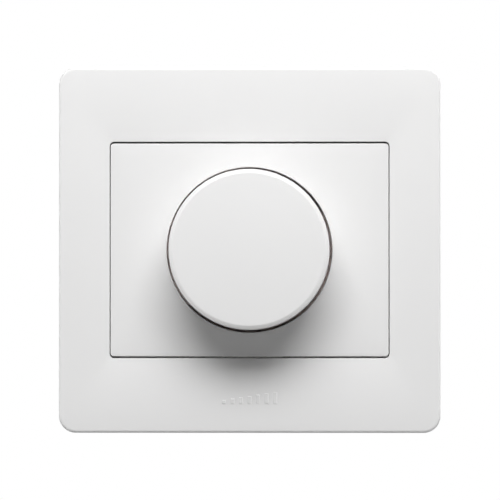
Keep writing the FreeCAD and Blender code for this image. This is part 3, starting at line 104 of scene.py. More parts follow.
def scaled_noise(tree, place, scale, detail=2.0):
    """Noise over the object's own coordinates, by its cells to the metre."""
    values = {"Vector": place, "Scale": scale, "Detail": detail}
    return put(tree, "ShaderNodeTexNoise", values).outputs["Fac"]


def spread(tree, value, low, high):
    """A value of noise, which lies about one half, spread over a range."""
    values = {"Value": value, "From Min": 0.3, "From Max": 0.7, "To Min": low, "To Max": high}
    return put(tree, "ShaderNodeMapRange", values).outputs["Result"]


def uneven(tree, colour, noise, amount):
    """The colour made lighter and darker by noise, up to an amount either way."""
    darker = arithmetic(tree, "SUBTRACT", 1.0, amount)
    lighter = arithmetic(tree, "ADD", 1.0, amount)
    values = {"Color": colour, "Value": spread(tree, noise, darker, lighter)}
    return put(tree, "ShaderNodeHueSaturation", values).outputs["Color"]


def end_surface(tree, colour, roughness, height, strength):
    """The outputs of a surface's group, with the normal from a fine relief."""
    values = {"Strength": strength, "Distance": 0.02 * MM, "Height": height}
    normal = put(tree, "ShaderNodeBump", values).outputs["Normal"]
    values = {"Colour": colour, "Roughness": roughness, "Normal": normal}
    put(tree, "NodeGroupOutput", values)


# The plated sheet effect is used on all plated and bare sheet metal and wire.
plated_sheet, inside = surface_group("plated_sheet", "Cloudiness", "Line Depth", "Gloss")
maths = partial(arithmetic, plated_sheet)
ROLLING_LINES = (60.0, 700.0, 9000.0)
values = {"Vector": inside["Place"], "Scale": ROLLING_LINES}
stretch = put(plated_sheet, "ShaderNodeMapping", values).outputs["Vector"]
lines = scaled_noise(plated_sheet, stretch, 1.0, 3.0)
clouds = scaled_noise(plated_sheet, inside["Place"], 160.0, 4.0)
values = {"Vector": inside["Place"], "Scale": 900.0}
crystals = put(plated_sheet, "ShaderNodeTexVoronoi", values).outputs["Distance"]
colour = uneven(plated_sheet, inside["Colour"], clouds, inside["Cloudiness"])
gloss = maths("ADD", inside["Gloss"], spread(plated_sheet, clouds, -0.05, 0.07))
gloss = maths("ADD", gloss, maths("MULTIPLY", lines, 0.08))
end_surface(plated_sheet, colour, gloss, maths("ADD", lines, crystals), inside["Line Depth"])


def new_material(name):
    """A material, its tree and its shader."""
    material = bpy.data.materials.new(name)
    material.use_nodes = True
    return material, material.node_tree, material.node_tree.nodes["Principled BSDF"]


def finish(name, effect, colour, gloss, values, metallic=0.0, ior=1.5, coat=0.0):
    """A material whose colour, roughness and normal come from an effect's group."""
    material, tree, shader = new_material(name)
    place = put(tree, "ShaderNodeTexCoord").outputs["Object"]
    values = {"Place": place, "Colour": (*colour, 1), "Gloss": gloss, **values}
    group = put(tree, "ShaderNodeGroup", values, node_tree=effect).outputs
    values = {"Metallic": metallic, "IOR": ior, "Coat Weight": coat, "Coat Roughness": 0.12}
    values.update({"Base Color": group["Colour"], "Roughness": group["Roughness"]})
    feed_all(tree, shader, {**values, "Normal": group["Normal"]})
    return material


def metal(name, colour, gloss, cloudiness=0.06, line_depth=0.15):
    values = {"Cloudiness": cloudiness, "Line Depth": line_depth}
    return finish(name, plated_sheet, colour, gloss, values, metallic=1.0)


def new_object(name, data):
    piece = bpy.data.objects.new(name, data)
    bpy.context.scene.collection.objects.link(piece)
    return piece


def smoothed(mesh, sharp=28):
    mesh.shade_smooth()
    mesh.set_sharp_from_angle(angle=math.radians(sharp))
    return mesh


def mesh_of(name, solid):
    mesh = bpy.data.meshes.new(name)
    solid.to_mesh(mesh)
    solid.free()
    return mesh


def joined(name, meshes):
    """One mesh from several."""
    whole = bmesh.new()
    for mesh in meshes:
        whole.from_mesh(mesh)
    return mesh_of(name, whole)


def new_piece(name, shape, material, sharp=None):
    """A piece from one mesh or a list of them, smoothed if its sharp angle is given."""
    mesh = joined(name, shape) if isinstance(shape, list) else shape
    if sharp:
        smoothed(mesh, sharp)
    mesh.materials.clear()
    mesh.materials.append(material)
    return new_object(name, mesh)


def body_of_node(node):
    bodies = frame["record"]["behaviour"]["bodies"]
    return next(body for body, nodes in bodies.items() if node in nodes)


def stands_for(piece, node):
    """The piece rides with a CAD node's body and is shown in its place."""
    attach(piece, body_of_node(node))
    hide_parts(node)


def round_edges(piece, width, segments=2):
    for polygon in piece.data.polygons:
        polygon.use_smooth = True
    edges = piece.modifiers.new("rounded_edges", "BEVEL")
    edges.width = width * MM
    edges.segments = segments
    edges.limit_method = "ANGLE"
    edges.angle_limit = math.radians(32.0)
    edges.harden_normals = True
    edges.miter_outer = "MITER_ARC"


def rounded_copy(node, material, width, segments=2):
    """The node's own shape with its loose triangles merged and its edges rounded."""
    mesh = frame["nodes"][node].data.copy()
    mesh.name = node + "_rounded"
    solid = bmesh.new()
    solid.from_mesh(mesh)
    bmesh.ops.remove_doubles(solid, verts=solid.verts, dist=0.0005 * MM)
    bmesh.ops.dissolve_limit(
        solid, angle_limit=math.radians(1.0), verts=solid.verts, edges=solid.edges
    )
    bmesh.ops.connect_verts_concave(solid, faces=solid.faces)
    solid.to_mesh(mesh)
    solid.free()
    if "custom_normal" in mesh.attributes:
        mesh.attributes.remove(mesh.attributes["custom_normal"])
    piece = new_piece(node + "_rounded", mesh, material)
    round_edges(piece, width, segments)
    stands_for(piece, node)


zinc = metal("bright_zinc", (0.66, 0.66, 0.64), 0.24)
rounded_copy("mounting_plate", zinc, 0.08)

# Rear housing
# A cup moulded in dark grey thermoset, with a fine matt grain and faint flow marks. The
# mould leaves rounded edges, round marks from its ejector pins and a raised blank panel.

moulded_skin, inside = surface_group("moulded_skin", "Grain", "Grain Depth", "Flow", "Gloss")
grain = scaled_noise(moulded_skin, inside["Place"], inside["Grain"])
flow = scaled_noise(moulded_skin, inside["Place"], 45.0)
colour = uneven(moulded_skin, inside["Colour"], flow, inside["Flow"])
gloss = arithmetic(moulded_skin, "ADD", inside["Gloss"], spread(moulded_skin, flow, -0.02, 0.02))
end_surface(moulded_skin, colour, gloss, grain, inside["Grain Depth"])


def plastic(name, colour, gloss, grain=6000.0, grain_depth=0.12, flow=0.01, **shader):
    values = {"Grain": grain, "Grain Depth": grain_depth, "Flow": flow}
    return finish(name, moulded_skin, colour, gloss, values, **shader)


DARK_GREY = (0.16, 0.165, 0.17)
dark_grey = plastic("dark_grey_thermoset", DARK_GREY, 0.46, 4500.0, grain_depth=0.35, flow=0.06)
rounded_copy("rear_housing", dark_grey, 0.2, 3)


def geometry_tree(name, *numbers, **others):
    """A geometry tree whose inputs are numbers, a material and others by their kind."""
    inputs = {**others, **dict.fromkeys(numbers, "Float"), "Material": "Material"}
    return new_group(name, "GeometryNodeTree", inputs, {"Geometry": "Geometry"})


def moved(tree, geometry, **how):
    """A shape shifted or turned inside a tree."""
    values = {"Geometry": geometry, **how}
    return put(tree, "GeometryNodeTransform", values).outputs["Geometry"]


def end_geometry(tree, inside, geometry):
    """The tree's output, with its instances made real and its material set."""
    real = put(tree, "GeometryNodeRealizeInstances", {"Geometry": geometry})
    values = {"Geometry": real.outputs["Geometry"], "Material": inside["Material"]}
    coated = put(tree, "GeometryNodeSetMaterial", values)
    put(tree, "NodeGroupOutput", {"Geometry": coated.outputs["Geometry"]})


def end_copies(tree, inside, points, shape, **turn):
    """The tree's output, with a copy of a shape on each point."""
    values = {"Points": points, "Instance": shape, **turn}
    copies = put(tree, "GeometryNodeInstanceOnPoints", values).outputs["Instances"]
    end_geometry(tree, inside, copies)


def round_tube(tree, curve, radius, sides):
    """A wire of a radius along a curve, with closed ends."""
    values = {"Resolution": sides, "Radius": radius}
    section = put(tree, "GeometryNodeCurvePrimitiveCircle", values).outputs["Curve"]
    values = {"Curve": curve, "Profile Curve": section, "Fill Caps": True}
    return put(tree, "GeometryNodeCurveToMesh", values).outputs["Mesh"]


# Ejector pins leave a fine raised ring wherever one pushed a moulding out.
pin_marks, inside = geometry_tree("ejector_pin_marks", "Pin Radius", "Burr", Geometry="Geometry")
values = {"Resolution": 40, "Radius": inside["Pin Radius"]}
pin_edge = put(pin_marks, "GeometryNodeCurvePrimitiveCircle", values).outputs["Curve"]
ring = round_tube(pin_marks, pin_edge, inside["Burr"], 8)
upright = moved(pin_marks, ring, Rotation=(math.pi / 2, 0, 0))
end_copies(pin_marks, inside, inside["Geometry"], upright)


def evaluated(name, data, modify=None):
    """The plain mesh of a curve or a mesh, after an optional modifier is set up."""
    holder = new_object(name, data)
    if modify:
        modify(holder)
    sight = bpy.context.evaluated_depsgraph_get()
    mesh = bpy.data.meshes.new_from_object(holder.evaluated_get(sight), depsgraph=sight)
    bpy.data.objects.remove(holder)
    mesh.name = name
    return mesh


def made_by(tree, name, material, lengths, numbers=None, seed=None):
    """The plain mesh that a tree makes from lengths in millimetres and other numbers."""
    values = {key: length * MM for key, length in lengths.items()}
    values.update(numbers or {}, Material=material)

    def set_up(holder):
        shape = holder.modifiers.new("shape", "NODES")
        shape.node_group = tree
        for item in tree.interface.items_tree:
            if item.in_out == "INPUT" and item.name in values:
                shape[item.identifier] = values[item.name]

    return evaluated(name, seed or bpy.data.meshes.new(name + "_seed"), set_up)


def bare_points(name, places, out):
    """A mesh of points at places across and up, at a level out from the wall."""
    mesh = bpy.data.meshes.new(name)
    mesh.from_pydata([(x * MM, -out * MM, z * MM) for x, z in places], [], [])
    return mesh


def ejector_marks(name, places, out, radius, material):
    """Rings at places across and up, at a level out from the wall."""
    seed = bare_points(name + "_places", places, out)
    lengths = {"Pin Radius": radius, "Burr": 0.06}
    mesh = made_by(pin_marks, name, material, lengths, seed=seed)
    mesh.shade_smooth()
    return new_piece(name, mesh, material)


def in_place(mesh, across=0.0, out=0.0, up=0.0, turn=0.0, axis="Y"):
    """Turns a mesh in degrees about an axis through the knob's and then shifts it."""
    mesh.transform(Matrix.Rotation(math.radians(turn), 4, axis))
    mesh.transform(Matrix.Translation(Vector((across, -out, up)) * MM))
    return mesh


def block(width, depth, height, across=0.0, out=0.0, up=0.0):
    """A block centred across and up, from a level towards the room by its depth."""
    solid = bmesh.new()
    bmesh.ops.create_cube(solid, size=MM)
    mesh = mesh_of("block", solid)
    mesh.transform(Matrix.Diagonal((width, depth, height, 1.0)))
    return in_place(mesh, across, out + depth / 2, up)


def goes_with(piece, node):
    """The piece is a detail on a CAD node, and rides with it."""
    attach(piece, body_of_node(node))


HOUSING_BACK = -24.0
corners = [(x, z) for x in (-15.5, 15.5) for z in (17.5, 1.0)]
goes_with(ejector_marks("housing_pin_marks", corners, HOUSING_BACK, 1.6, dark_grey), "rear_housing")
panel = block(19.0, 0.2, 8.0, 0.0, HOUSING_BACK - 0.15, 9.0)
blank_panel = new_piece("housing_blank_panel", panel, dark_grey)
round_edges(blank_panel, 0.12, 3)
goes_with(blank_panel, "rear_housing")

# Terminals
# Each is a cage pressed from brass strip, with a slotted steel screw from below and a
# flat link that rises to the circuit board. The screws are yellow passivated.


def vector(tree, **parts):
    """A vector from its X, Y and Z, each of them zero if it isn't given."""
    return put(tree, "ShaderNodeCombineXYZ", parts).outputs["Vector"]


def around(maths, angle, radius):
    """How far across and along a point lies at an angle and a radius."""
    return [maths("MULTIPLY", maths(part, angle), radius) for part in ("COSINE", "SINE")]


# A thread is a grid rolled up, with its rows moved along the axis as they go round.
thread_tree, inside = geometry_tree("screw_thread", "Length", "Pitch", "Outer Radius", "Depth")
maths = partial(arithmetic, thread_tree)
STEPS_A_TURN, POINTS_A_STEP, FLANK_SLOPE = 6, 29, 2.6
turns = maths("CEIL", maths("ADD", maths("DIVIDE", inside["Length"], inside["Pitch"]), 1.0))
rows = maths("ADD", maths("MULTIPLY", turns, STEPS_A_TURN), 1.0)
values = {"Size X": 1.0, "Size Y": 1.0, "Vertices X": POINTS_A_STEP, "Vertices Y": rows}
grid = put(thread_tree, "GeometryNodeMeshGrid", values)
point = put(thread_tree, "GeometryNodeInputPosition").outputs["Position"]
point = put(thread_tree, "ShaderNodeSeparateXYZ", {"Vector": point}).outputs
round_it = maths("ADD", point["X"], 0.5)
turn_up = maths("MULTIPLY", maths("ADD", point["Y"], 0.5), turns)
along = maths("SUBTRACT", maths("ADD", turn_up, round_it), 1.0)
along = maths("MAXIMUM", maths("MULTIPLY", along, inside["Pitch"]), 0.0)
along = maths("MINIMUM", along, inside["Length"])
ridge = maths("MULTIPLY", maths("PINGPONG", turn_up, 0.5), FLANK_SLOPE)
ridge = maths("MINIMUM", ridge, 1.0)
to_end = maths("MINIMUM", maths("SUBTRACT", inside["Length"], along), along)
fade = maths("MINIMUM", maths("DIVIDE", to_end, inside["Pitch"]), 1.0)
ridge = maths("SUBTRACT", maths("MULTIPLY", ridge, fade), 1.03)
radius = maths("ADD", maths("MULTIPLY", ridge, inside["Depth"]), inside["Outer Radius"])
angle = maths("MULTIPLY", round_it, math.tau)
x, y = around(maths, angle, radius)
place = vector(thread_tree, X=x, Y=y, Z=along)
values = {"Geometry": grid.outputs["Mesh"], "Position": place}
wrapped = put(thread_tree, "GeometryNodeSetPosition", values)
values = {"Geometry": wrapped.outputs["Geometry"], "Distance": 0.002 * MM}
closed = put(thread_tree, "GeometryNodeMergeByDistance", values)
end_geometry(thread_tree, inside, closed.outputs["Geometry"])


def threaded(name, material, start, length, pitch, radius, depth):
    """A threaded sleeve along the knob's axis, from its start towards the room."""
    lengths = {"Length": length, "Pitch": pitch, "Outer Radius": radius, "Depth": depth}
    return in_place(made_by(thread_tree, name, material, lengths), out=start, turn=90, axis="X")


def circle_loop(radius, out, count):
    """Points round a circle about the knob's axis, at a distance out of the wall."""
    turns = [math.tau * (i + 0.5) / count for i in range(count)]
    return [(radius * math.cos(t), -out, radius * math.sin(t)) for t in turns]


def lofted(name, loops, closed, smooth=True):
    """Faces from each loop to the next, and back to the first or with capped ends."""
    solid = bmesh.new()
    rings = [[solid.verts.new([v * MM for v in p]) for p in loop] for loop in loops]
    pairs = list(zip(rings, rings[1:]))
    if closed:
        pairs.append((rings[-1], rings[0]))
    else:
        for ring in (rings[0], rings[-1]):
            solid.faces.new(ring)
    for one, other in pairs:
        for i in range(len(one)):
            after = (i + 1) % len(one)
            solid.faces.new((one[i], one[after], other[after], other[i]))
    bmesh.ops.recalc_face_normals(solid, faces=solid.faces)
    mesh = mesh_of(name, solid)
    return smoothed(mesh) if smooth else mesh


def turned(name, profile, closed=False, steps=48):
    """A turned shape from radii and levels out. A profile left open gets flat ends."""
    return lofted(name, [circle_loop(r, out, steps) for r, out in profile], closed)


def eased(corners, reach, steps=4):
    """The same profile with each inner corner drawn as a small curve."""
    points = [corners[0]]
    for before, corner, after in zip(corners, corners[1:], corners[2:]):
        before, corner, after = Vector(before), Vector(corner), Vector(after)
        start = corner + (before - corner) * min(0.45, reach / (before - corner).length)
        end = corner + (after - corner) * min(0.45, reach / (after - corner).length)
        for i in range(steps + 1):
            t = i / steps
            bend = start * (1 - t) ** 2 + corner * 2 * t * (1 - t) + end * t**2
            points.append(tuple(bend))
    return points + [corners[-1]]


def carved(name, mesh, cutters):
    """The mesh with other meshes cut out of it."""
    tool = new_object(name + "_cutter", joined(name + "_cutter", cutters))

    def set_up(holder):
        cut = holder.modifiers.new("cut", "BOOLEAN")
        cut.operation = "DIFFERENCE"
        cut.solver = "EXACT"
        cut.object = tool

    result = evaluated(name, mesh, set_up)
    bpy.data.objects.remove(tool)
    return smoothed(result)


def slotted_screw(name, head, shank, tip, slot, pitch, depth, material):
    """A screw along the knob's axis from its head's base at zero, its tip behind.

    head is its radius and height, shank its radius and length, tip its radius and
    length, and slot its width and depth.
    """
    core = shank[0] - depth
    start = -shank[1]
    profile = [(tip[0] * 0.6, start), (tip[0], start), (core, start + tip[1]), (core, 0.0)]
    profile += [(head[0], 0.0), (head[0], head[1]), (head[0] * 0.6, head[1])]
    solid = turned(name + "_solid", eased(profile, 0.12, 3))
    cutter = block(3 * head[0], slot[1] + 1.0, slot[0], 0.0, head[1] - slot[1], 0.0)
    solid = carved(name + "_solid", solid, [cutter])
    length = shank[1] - tip[1]
    sleeve = threaded(name + "_sleeve", material, -length, length, pitch, shank[0], depth)
    return smoothed(joined(name, [solid, sleeve]), 40)


brass = metal("pressed_brass", (0.78, 0.60, 0.32), 0.24, 0.08)
yellow_zinc = metal("yellow_zinc", (0.72, 0.66, 0.42), 0.26, 0.12)
TERMINAL_PITCH = 8.5
for number in (1, 2, 3):
    rounded_copy("terminal_cage_%d" % number, brass, 0.12)
    rounded_copy("terminal_link_%d" % number, brass, 0.06)
screws = []
for across in (-TERMINAL_PITCH, 0.0, TERMINAL_PITCH):
    screw = slotted_screw(
        "terminal_screw", (2.7, 1.8), (1.7, 3.3), (1.25, 0.5), (0.7, 0.7), 0.7, 0.35, yellow_zinc
    )
    in_place(screw, turn=90, axis="X")
    screws.append(in_place(screw, across, -18.7, -20.8, 17.0 + 31.0 * across, "Z"))
stands_for(new_piece("terminal_screw_set", screws, yellow_zinc), "terminal_screws")

# Circuit board
# Brown phenolic paper laminate, punched to shape, so its fibres show as fine streaks.
# The parts' wires come through it and are soldered on its back in small bright cones.

BROWN = (0.42, 0.27, 0.11)
laminate = plastic("paper_laminate", BROWN, 0.48, grain=1500.0, grain_depth=0.2, flow=0.16)
rounded_copy("circuit_board", laminate, 0.05)
BOARD_FRONT = -15.0
BOARD_BACK = -16.6

solder_cones, inside = geometry_tree(
    "solder_cones", "Foot Radius", "Top Radius", "Height", Geometry="Geometry"
)
values = {
    "Vertices": 20,
    "Side Segments": 4,
    "Radius Bottom": inside["Foot Radius"],
    "Radius Top": inside["Top Radius"],
    "Depth": inside["Height"],
}
cone = put(solder_cones, "GeometryNodeMeshCone", values).outputs["Mesh"]
lying = moved(solder_cones, cone, Rotation=(-math.pi / 2, 0, 0))
end_copies(solder_cones, inside, inside["Geometry"], lying)

solder = metal("solder", (0.68, 0.68, 0.67), 0.22, 0.1, 0.05)
RESISTORS_ACROSS, RESISTOR_LEGS, RESISTORS_UP = 13.8, 3.7, (5.4, 8.0, 10.6)
DIODE_LEGS, DIODE_UP = 2.6, 9.4
DIPPED_LEGS, DIPPED_UP = (11.4, 15.8), 13.55
BOXED_ACROSS, BOXED_LEGS = -13.5, (-8.9, 1.1)
COIL_LEGS, COIL_LEGS_UP = (-15.4, -10.8), 3.3
SWITCH_LEADS, SWITCH_LEADS_UP = (11.2, 13.7, 16.2), 2.9
CONTACTS_ACROSS, CONTACTS_UP = 5.0, -3.4
FUSE_FEET, FUSE_UP = 8.0, 17.6
wire_rows = (
    ((RESISTORS_ACROSS - RESISTOR_LEGS, RESISTORS_ACROSS + RESISTOR_LEGS), RESISTORS_UP),
    ((-DIODE_LEGS, DIODE_LEGS), (DIODE_UP,)),
    (DIPPED_LEGS, (DIPPED_UP,)),
    ((BOXED_ACROSS,), BOXED_LEGS),
    (COIL_LEGS, (COIL_LEGS_UP,)),
    (SWITCH_LEADS, (SWITCH_LEADS_UP,)),
    ((-CONTACTS_ACROSS, CONTACTS_ACROSS), (CONTACTS_UP,)),
    ((-FUSE_FEET, FUSE_FEET), (FUSE_UP,)),
)
wire_places = [(x, z) for across, up in wire_rows for x in across for z in up]
lengths = {"Foot Radius": 0.85, "Top Radius": 0.35, "Height": 0.7}
seed = bare_points("wire_places", wire_places, BOARD_BACK - 0.3)
cones = made_by(solder_cones, "solder_joints", solder, lengths, seed=seed)
soldered = new_piece("solder_joints", cones, solder, 50)
goes_with(soldered, "circuit_board")

# Parts on the board
# A yellow boxed capacitor, a dipped green one, three lacquered resistors with colour
# bands, a small glass trigger diode and the legs that carry them.


def wire(name, points, radius):
    """A round wire through points across, out and up, bent smoothly at its corners."""
    line = bpy.data.curves.new(name, "CURVE")
    line.dimensions = "3D"
    line.bevel_depth = radius * MM
    line.bevel_resolution = 3
    line.use_fill_caps = True
    line.resolution_u = 6
    run = line.splines.new("NURBS")
    run.points.add(len(points) - 1)
    for point, (across, out, up) in zip(run.points, points):
        point.co = (across * MM, -out * MM, up * MM, 1)
    run.order_u = 3
    run.use_endpoint_u = True
    mesh = evaluated(name, line)
    mesh.shade_smooth()
    return mesh


yellow_case = plastic("yellow_case", (0.82, 0.58, 0.08), 0.28, flow=0.02)
green_dip = plastic("green_dip", (0.09, 0.25, 0.14), 0.2, grain=900.0, grain_depth=0.5)
rounded_copy("suppression_capacitor", yellow_case, 0.45, 4)

dipped = block(6.5, 7.0, 3.0, sum(DIPPED_LEGS) / 2, BOARD_FRONT, DIPPED_UP)
dipped_capacitor = new_piece("dipped_capacitor", dipped, green_dip)
round_edges(dipped_capacitor, 1.2, 6)
stands_for(dipped_capacitor, "timing_capacitor")


def mixed_colour(tree, amount, first, second):
    """The first colour where the amount is zero and the second where it is one."""
    node = put(tree, "ShaderNodeMix", data_type="RGBA")
    for index, value in ((0, amount), (6, first), (7, second)):
        feed(tree, node.inputs[index], value)
    return node.outputs[2]


# The lacquer's bands lie across each resistor, the last a little apart from the rest.
lacquer = plastic("banded_lacquer", (0.66, 0.55, 0.38), 0.24, grain=1200.0, grain_depth=0.3)
tree = lacquer.node_tree
shader = tree.nodes["Principled BSDF"]
paint = shader.inputs["Base Color"].links[0].from_socket
place = put(tree, "ShaderNodeTexCoord").outputs["Object"]
across = put(tree, "ShaderNodeSeparateXYZ", {"Vector": place}).outputs["X"]
bands = (
    (12.3, (0.22, 0.09, 0.04, 1)),
    (13.3, (0.02, 0.02, 0.02, 1)),
    (14.3, (0.7, 0.32, 0.03, 1)),
    (15.6, (0.62, 0.46, 0.16, 1)),
)
for middle, colour in bands:
    near = arithmetic(tree, "ABSOLUTE", arithmetic(tree, "SUBTRACT", across, middle * MM))
    band = arithmetic(tree, "LESS_THAN", near, 0.27 * MM)
    paint = mixed_colour(tree, band, paint, colour)
tree.links.new(paint, shader.inputs["Base Color"])

tinned = metal("tinned_copper", (0.72, 0.70, 0.67), 0.2, 0.05, 0.03)
profile = [(0.5, -3.0), (1.0, -3.0), (1.15, -2.5), (1.15, -1.6), (0.98, -1.2)]
profile += [(r, -out) for r, out in reversed(profile)]
bodies, legs = [], []
LEGS_END = BOARD_BACK - 0.5
LEG = 0.28
level = BOARD_FRONT + 1.15
for up in RESISTORS_UP:
    body = turned("resistor_body", eased(profile, 0.25, 3), steps=32)
    bodies.append(in_place(body, RESISTORS_ACROSS, level, up, 90, "Z"))
    for side in (-1, 1):
        near, far = [RESISTORS_ACROSS + side * reach for reach in (2.7, RESISTOR_LEGS)]
        route = [(near, level, up), (far, level, up), (far, LEGS_END, up)]
        legs.append(wire("leg", route, LEG))
stands_for(new_piece("banded_resistors", bodies, lacquer, 45), "resistors")

blue_glass = plastic("blue_glass", (0.10, 0.22, 0.42), 0.12, flow=0.03, coat=0.6)
profile = [(0.5, -1.8), (0.9, -1.8), (0.9, 1.8), (0.5, 1.8)]
diode = turned("trigger_body", eased(profile, 0.45, 5), steps=32)
level = BOARD_FRONT + 0.9
in_place(diode, 0.0, level, DIODE_UP, 90, "Z")
stands_for(new_piece("trigger_body", diode, blue_glass), "trigger_diode")
for side in (-1, 1):
    far = side * DIODE_LEGS
    route = [(side * 1.5, level, DIODE_UP), (far, level, DIODE_UP), (far, LEGS_END, DIODE_UP)]
    legs.append(wire("leg", route, 0.25))
straight_legs = [(x, DIPPED_UP, LEG) for x in DIPPED_LEGS]
straight_legs += [(BOXED_ACROSS, z, 0.35) for z in BOXED_LEGS]
for across, up, radius in straight_legs:
    route = [(across, BOARD_FRONT + 0.5, up), (across, LEGS_END, up)]
    legs.append(wire("leg", route, radius))
wire_legs = new_piece("wire_legs", legs, tinned)
goes_with(wire_legs, "circuit_board")

# Filter choke
# A ring of dull black ferrite with twelve turns of enamelled copper wire wound round it,
# whose two ends go down into the board.

ferrite = plastic("ferrite", (0.07, 0.07, 0.075), 0.55, grain=3000.0, grain_depth=0.6, flow=0.1)
enamelled = metal("enamelled_copper", (0.62, 0.27, 0.13), 0.2, 0.05, 0.02)
rounded_copy("choke_core", ferrite, 0.02, 1)

winding_tree, inside = geometry_tree(
    "ring_winding", "Turns", "Sweep", "Ring Radius", "Turn Radius", "Wire Radius"
)
maths = partial(arithmetic, winding_tree)
straight = put(winding_tree, "GeometryNodeCurvePrimitiveLine").outputs["Curve"]
samples = maths("MULTIPLY", inside["Turns"], 28.0)
divided = put(winding_tree, "GeometryNodeResampleCurve", {"Curve": straight, "Count": samples})
factor = put(winding_tree, "GeometryNodeSplineParameter").outputs["Factor"]
round_ring = maths("MULTIPLY", factor, inside["Sweep"])
round_core = maths("MULTIPLY", maths("MULTIPLY", factor, inside["Turns"]), math.tau)
reach, rise = around(maths, round_core, inside["Turn Radius"])
x, z = around(maths, round_ring, maths("ADD", reach, inside["Ring Radius"]))
place = vector(winding_tree, X=x, Y=rise, Z=z)
values = {"Geometry": divided.outputs["Curve"], "Position": place}
wound = put(winding_tree, "GeometryNodeSetPosition", values).outputs["Geometry"]
tube = round_tube(winding_tree, wound, inside["Wire Radius"], 10)
end_geometry(winding_tree, inside, tube)

CHOKE = (-13.1, BOARD_FRONT + 2.4, 9.2)
RING, TURN, COIL_WIRE = 3.5, 2.05, 0.3
lengths = {"Ring Radius": RING, "Turn Radius": TURN, "Wire Radius": COIL_WIRE}
numbers = {"Turns": 12.0, "Sweep": math.radians(330)}
coil = made_by(winding_tree, "choke_turns", enamelled, lengths, numbers)
in_place(coil, *CHOKE, turn=-105)
ends = []
for side, foot in zip((-1, 1), COIL_LEGS):
    turn = math.radians(-90 + side * 15)
    x = CHOKE[0] + (RING + TURN) * math.cos(turn)
    z = CHOKE[2] + (RING + TURN) * math.sin(turn)
    route = [(x, CHOKE[1], z), (x, CHOKE[1] - 0.9, z - 0.2)]
    route += [(foot, BOARD_FRONT + 0.8, COIL_LEGS_UP), (foot, LEGS_END, COIL_LEGS_UP)]
    ends.append(wire("coil_end", route, COIL_WIRE))
stands_for(new_piece("choke_turns", [coil] + ends, enamelled, 60), "choke_winding")

# Cartridge fuse and its clips
# A glass tube with nickel plated caps pressed over its ends and a thin melting wire
# inside, held in two springy clips of folded brass.

glass, tree, shader = new_material("clear_glass")
place = put(tree, "ShaderNodeTexCoord").outputs["Object"]
waves = scaled_noise(tree, place, 500.0)
tint = mixed_colour(tree, waves, (0.86, 0.90, 0.89, 1), (0.93, 0.95, 0.94, 1))
values = {"Base Color": tint, "Transmission Weight": 1.0, "Roughness": 0.03, "IOR": 1.5}
feed_all(tree, shader, values)

nickel = metal("nickel_plate", (0.70, 0.68, 0.62), 0.18, 0.03, 0.08)
CAP_RADIUS, TUBE_RADIUS, TUBE_BORE, TUBE_END = 2.6, 2.45, 1.95, 9.4
FUSE_OUT = BOARD_FRONT + 0.65 + CAP_RADIUS
profile = [(TUBE_RADIUS, -TUBE_END), (TUBE_RADIUS, TUBE_END)]
profile += [(TUBE_BORE, TUBE_END), (TUBE_BORE, -TUBE_END)]
tube = turned("fuse_tube", profile, closed=True, steps=64)
in_place(tube, 0.0, FUSE_OUT, FUSE_UP, 90, "Z")
stands_for(new_piece("fuse_tube", tube, glass), "cartridge_fuse")
caps = []
for side in (-1, 1):
    profile = [(TUBE_RADIUS + 0.02, 4.8), (CAP_RADIUS, 4.8), (CAP_RADIUS, 9.8), (1.0, 9.8)]
    cap = turned("fuse_cap", eased(profile, 0.3, 4), steps=64)
    caps.append(in_place(cap, 0.0, FUSE_OUT, FUSE_UP, 90 * side, "Z"))
goes_with(new_piece("fuse_caps", caps, nickel, 40), "cartridge_fuse")
route = [(-9.0, FUSE_OUT, FUSE_UP), (0.0, FUSE_OUT + 0.3, FUSE_UP - 0.1), (9.0, FUSE_OUT, FUSE_UP)]
melting_wire = new_piece("melting_wire", wire("melting_wire", route, 0.1), tinned)
goes_with(melting_wire, "cartridge_fuse")
rounded_copy("fuse_clips", brass, 0.1)

# Semiconductor switch
# A black moulded body whose metal tab is riveted through the steel plate, over a grey
# silicone pad that passes its heat on.

black_moulding = plastic("black_moulding", (0.03, 0.03, 0.032), 0.42, flow=0.08)
silicone = plastic("grey_silicone", (0.55, 0.57, 0.60), 0.6, grain=2500.0, flow=0.04)
rounded_copy("triac", black_moulding, 0.12)
rounded_copy("heat_pad", silicone, 0.05)
rounded_copy("triac_rivet", zinc, 0.2, 3)

# Push switch
# A black case on the board with two brass posts in it. The spindle pushes a nylon
# plunger with a brass blade onto the posts, and a steel coil spring pushes it back.

nylon = plastic("natural_nylon", (0.78, 0.76, 0.70), 0.42, flow=0.03)
spring_steel = metal("spring_steel", (0.5, 0.5, 0.51), 0.32, line_depth=0.25)
rounded_copy("switch_case", black_moulding, 0.12)
rounded_copy("fixed_contacts", brass, 0.12)
rounded_copy("switch_plunger", nylon, 0.12)
rounded_copy("contact_blade", brass, 0.06)

spring_tree, inside = geometry_tree("coil_spring", "Turns", "Radius", "Wire Radius", "Height")
values = {
    "Resolution": 40,
    "Rotations": inside["Turns"],
    "Start Radius": inside["Radius"],
    "End Radius": inside["Radius"],
    "Height": inside["Height"],
}
spiral = put(spring_tree, "GeometryNodeCurveSpiral", values).outputs["Curve"]
tube = round_tube(spring_tree, spiral, inside["Wire Radius"], 12)
end_geometry(spring_tree, inside, tube)

lengths = {"Radius": 1.9, "Wire Radius": 0.2, "Height": 2.8}
spring = made_by(spring_tree, "plunger_spring", spring_steel, lengths, {"Turns": 4.0})
in_place(spring, out=-13.8, turn=90, axis="X")
plunger_spring = new_piece("plunger_spring", spring, spring_steel, 60)
stands_for(plunger_spring, "return_spring")
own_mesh(plunger_spring)

# Dimmer control
# A drawn steel can behind the bushing holds a carbon track on a brown disc. A nylon
# rotor turns a folded silver plated wiper over the track.

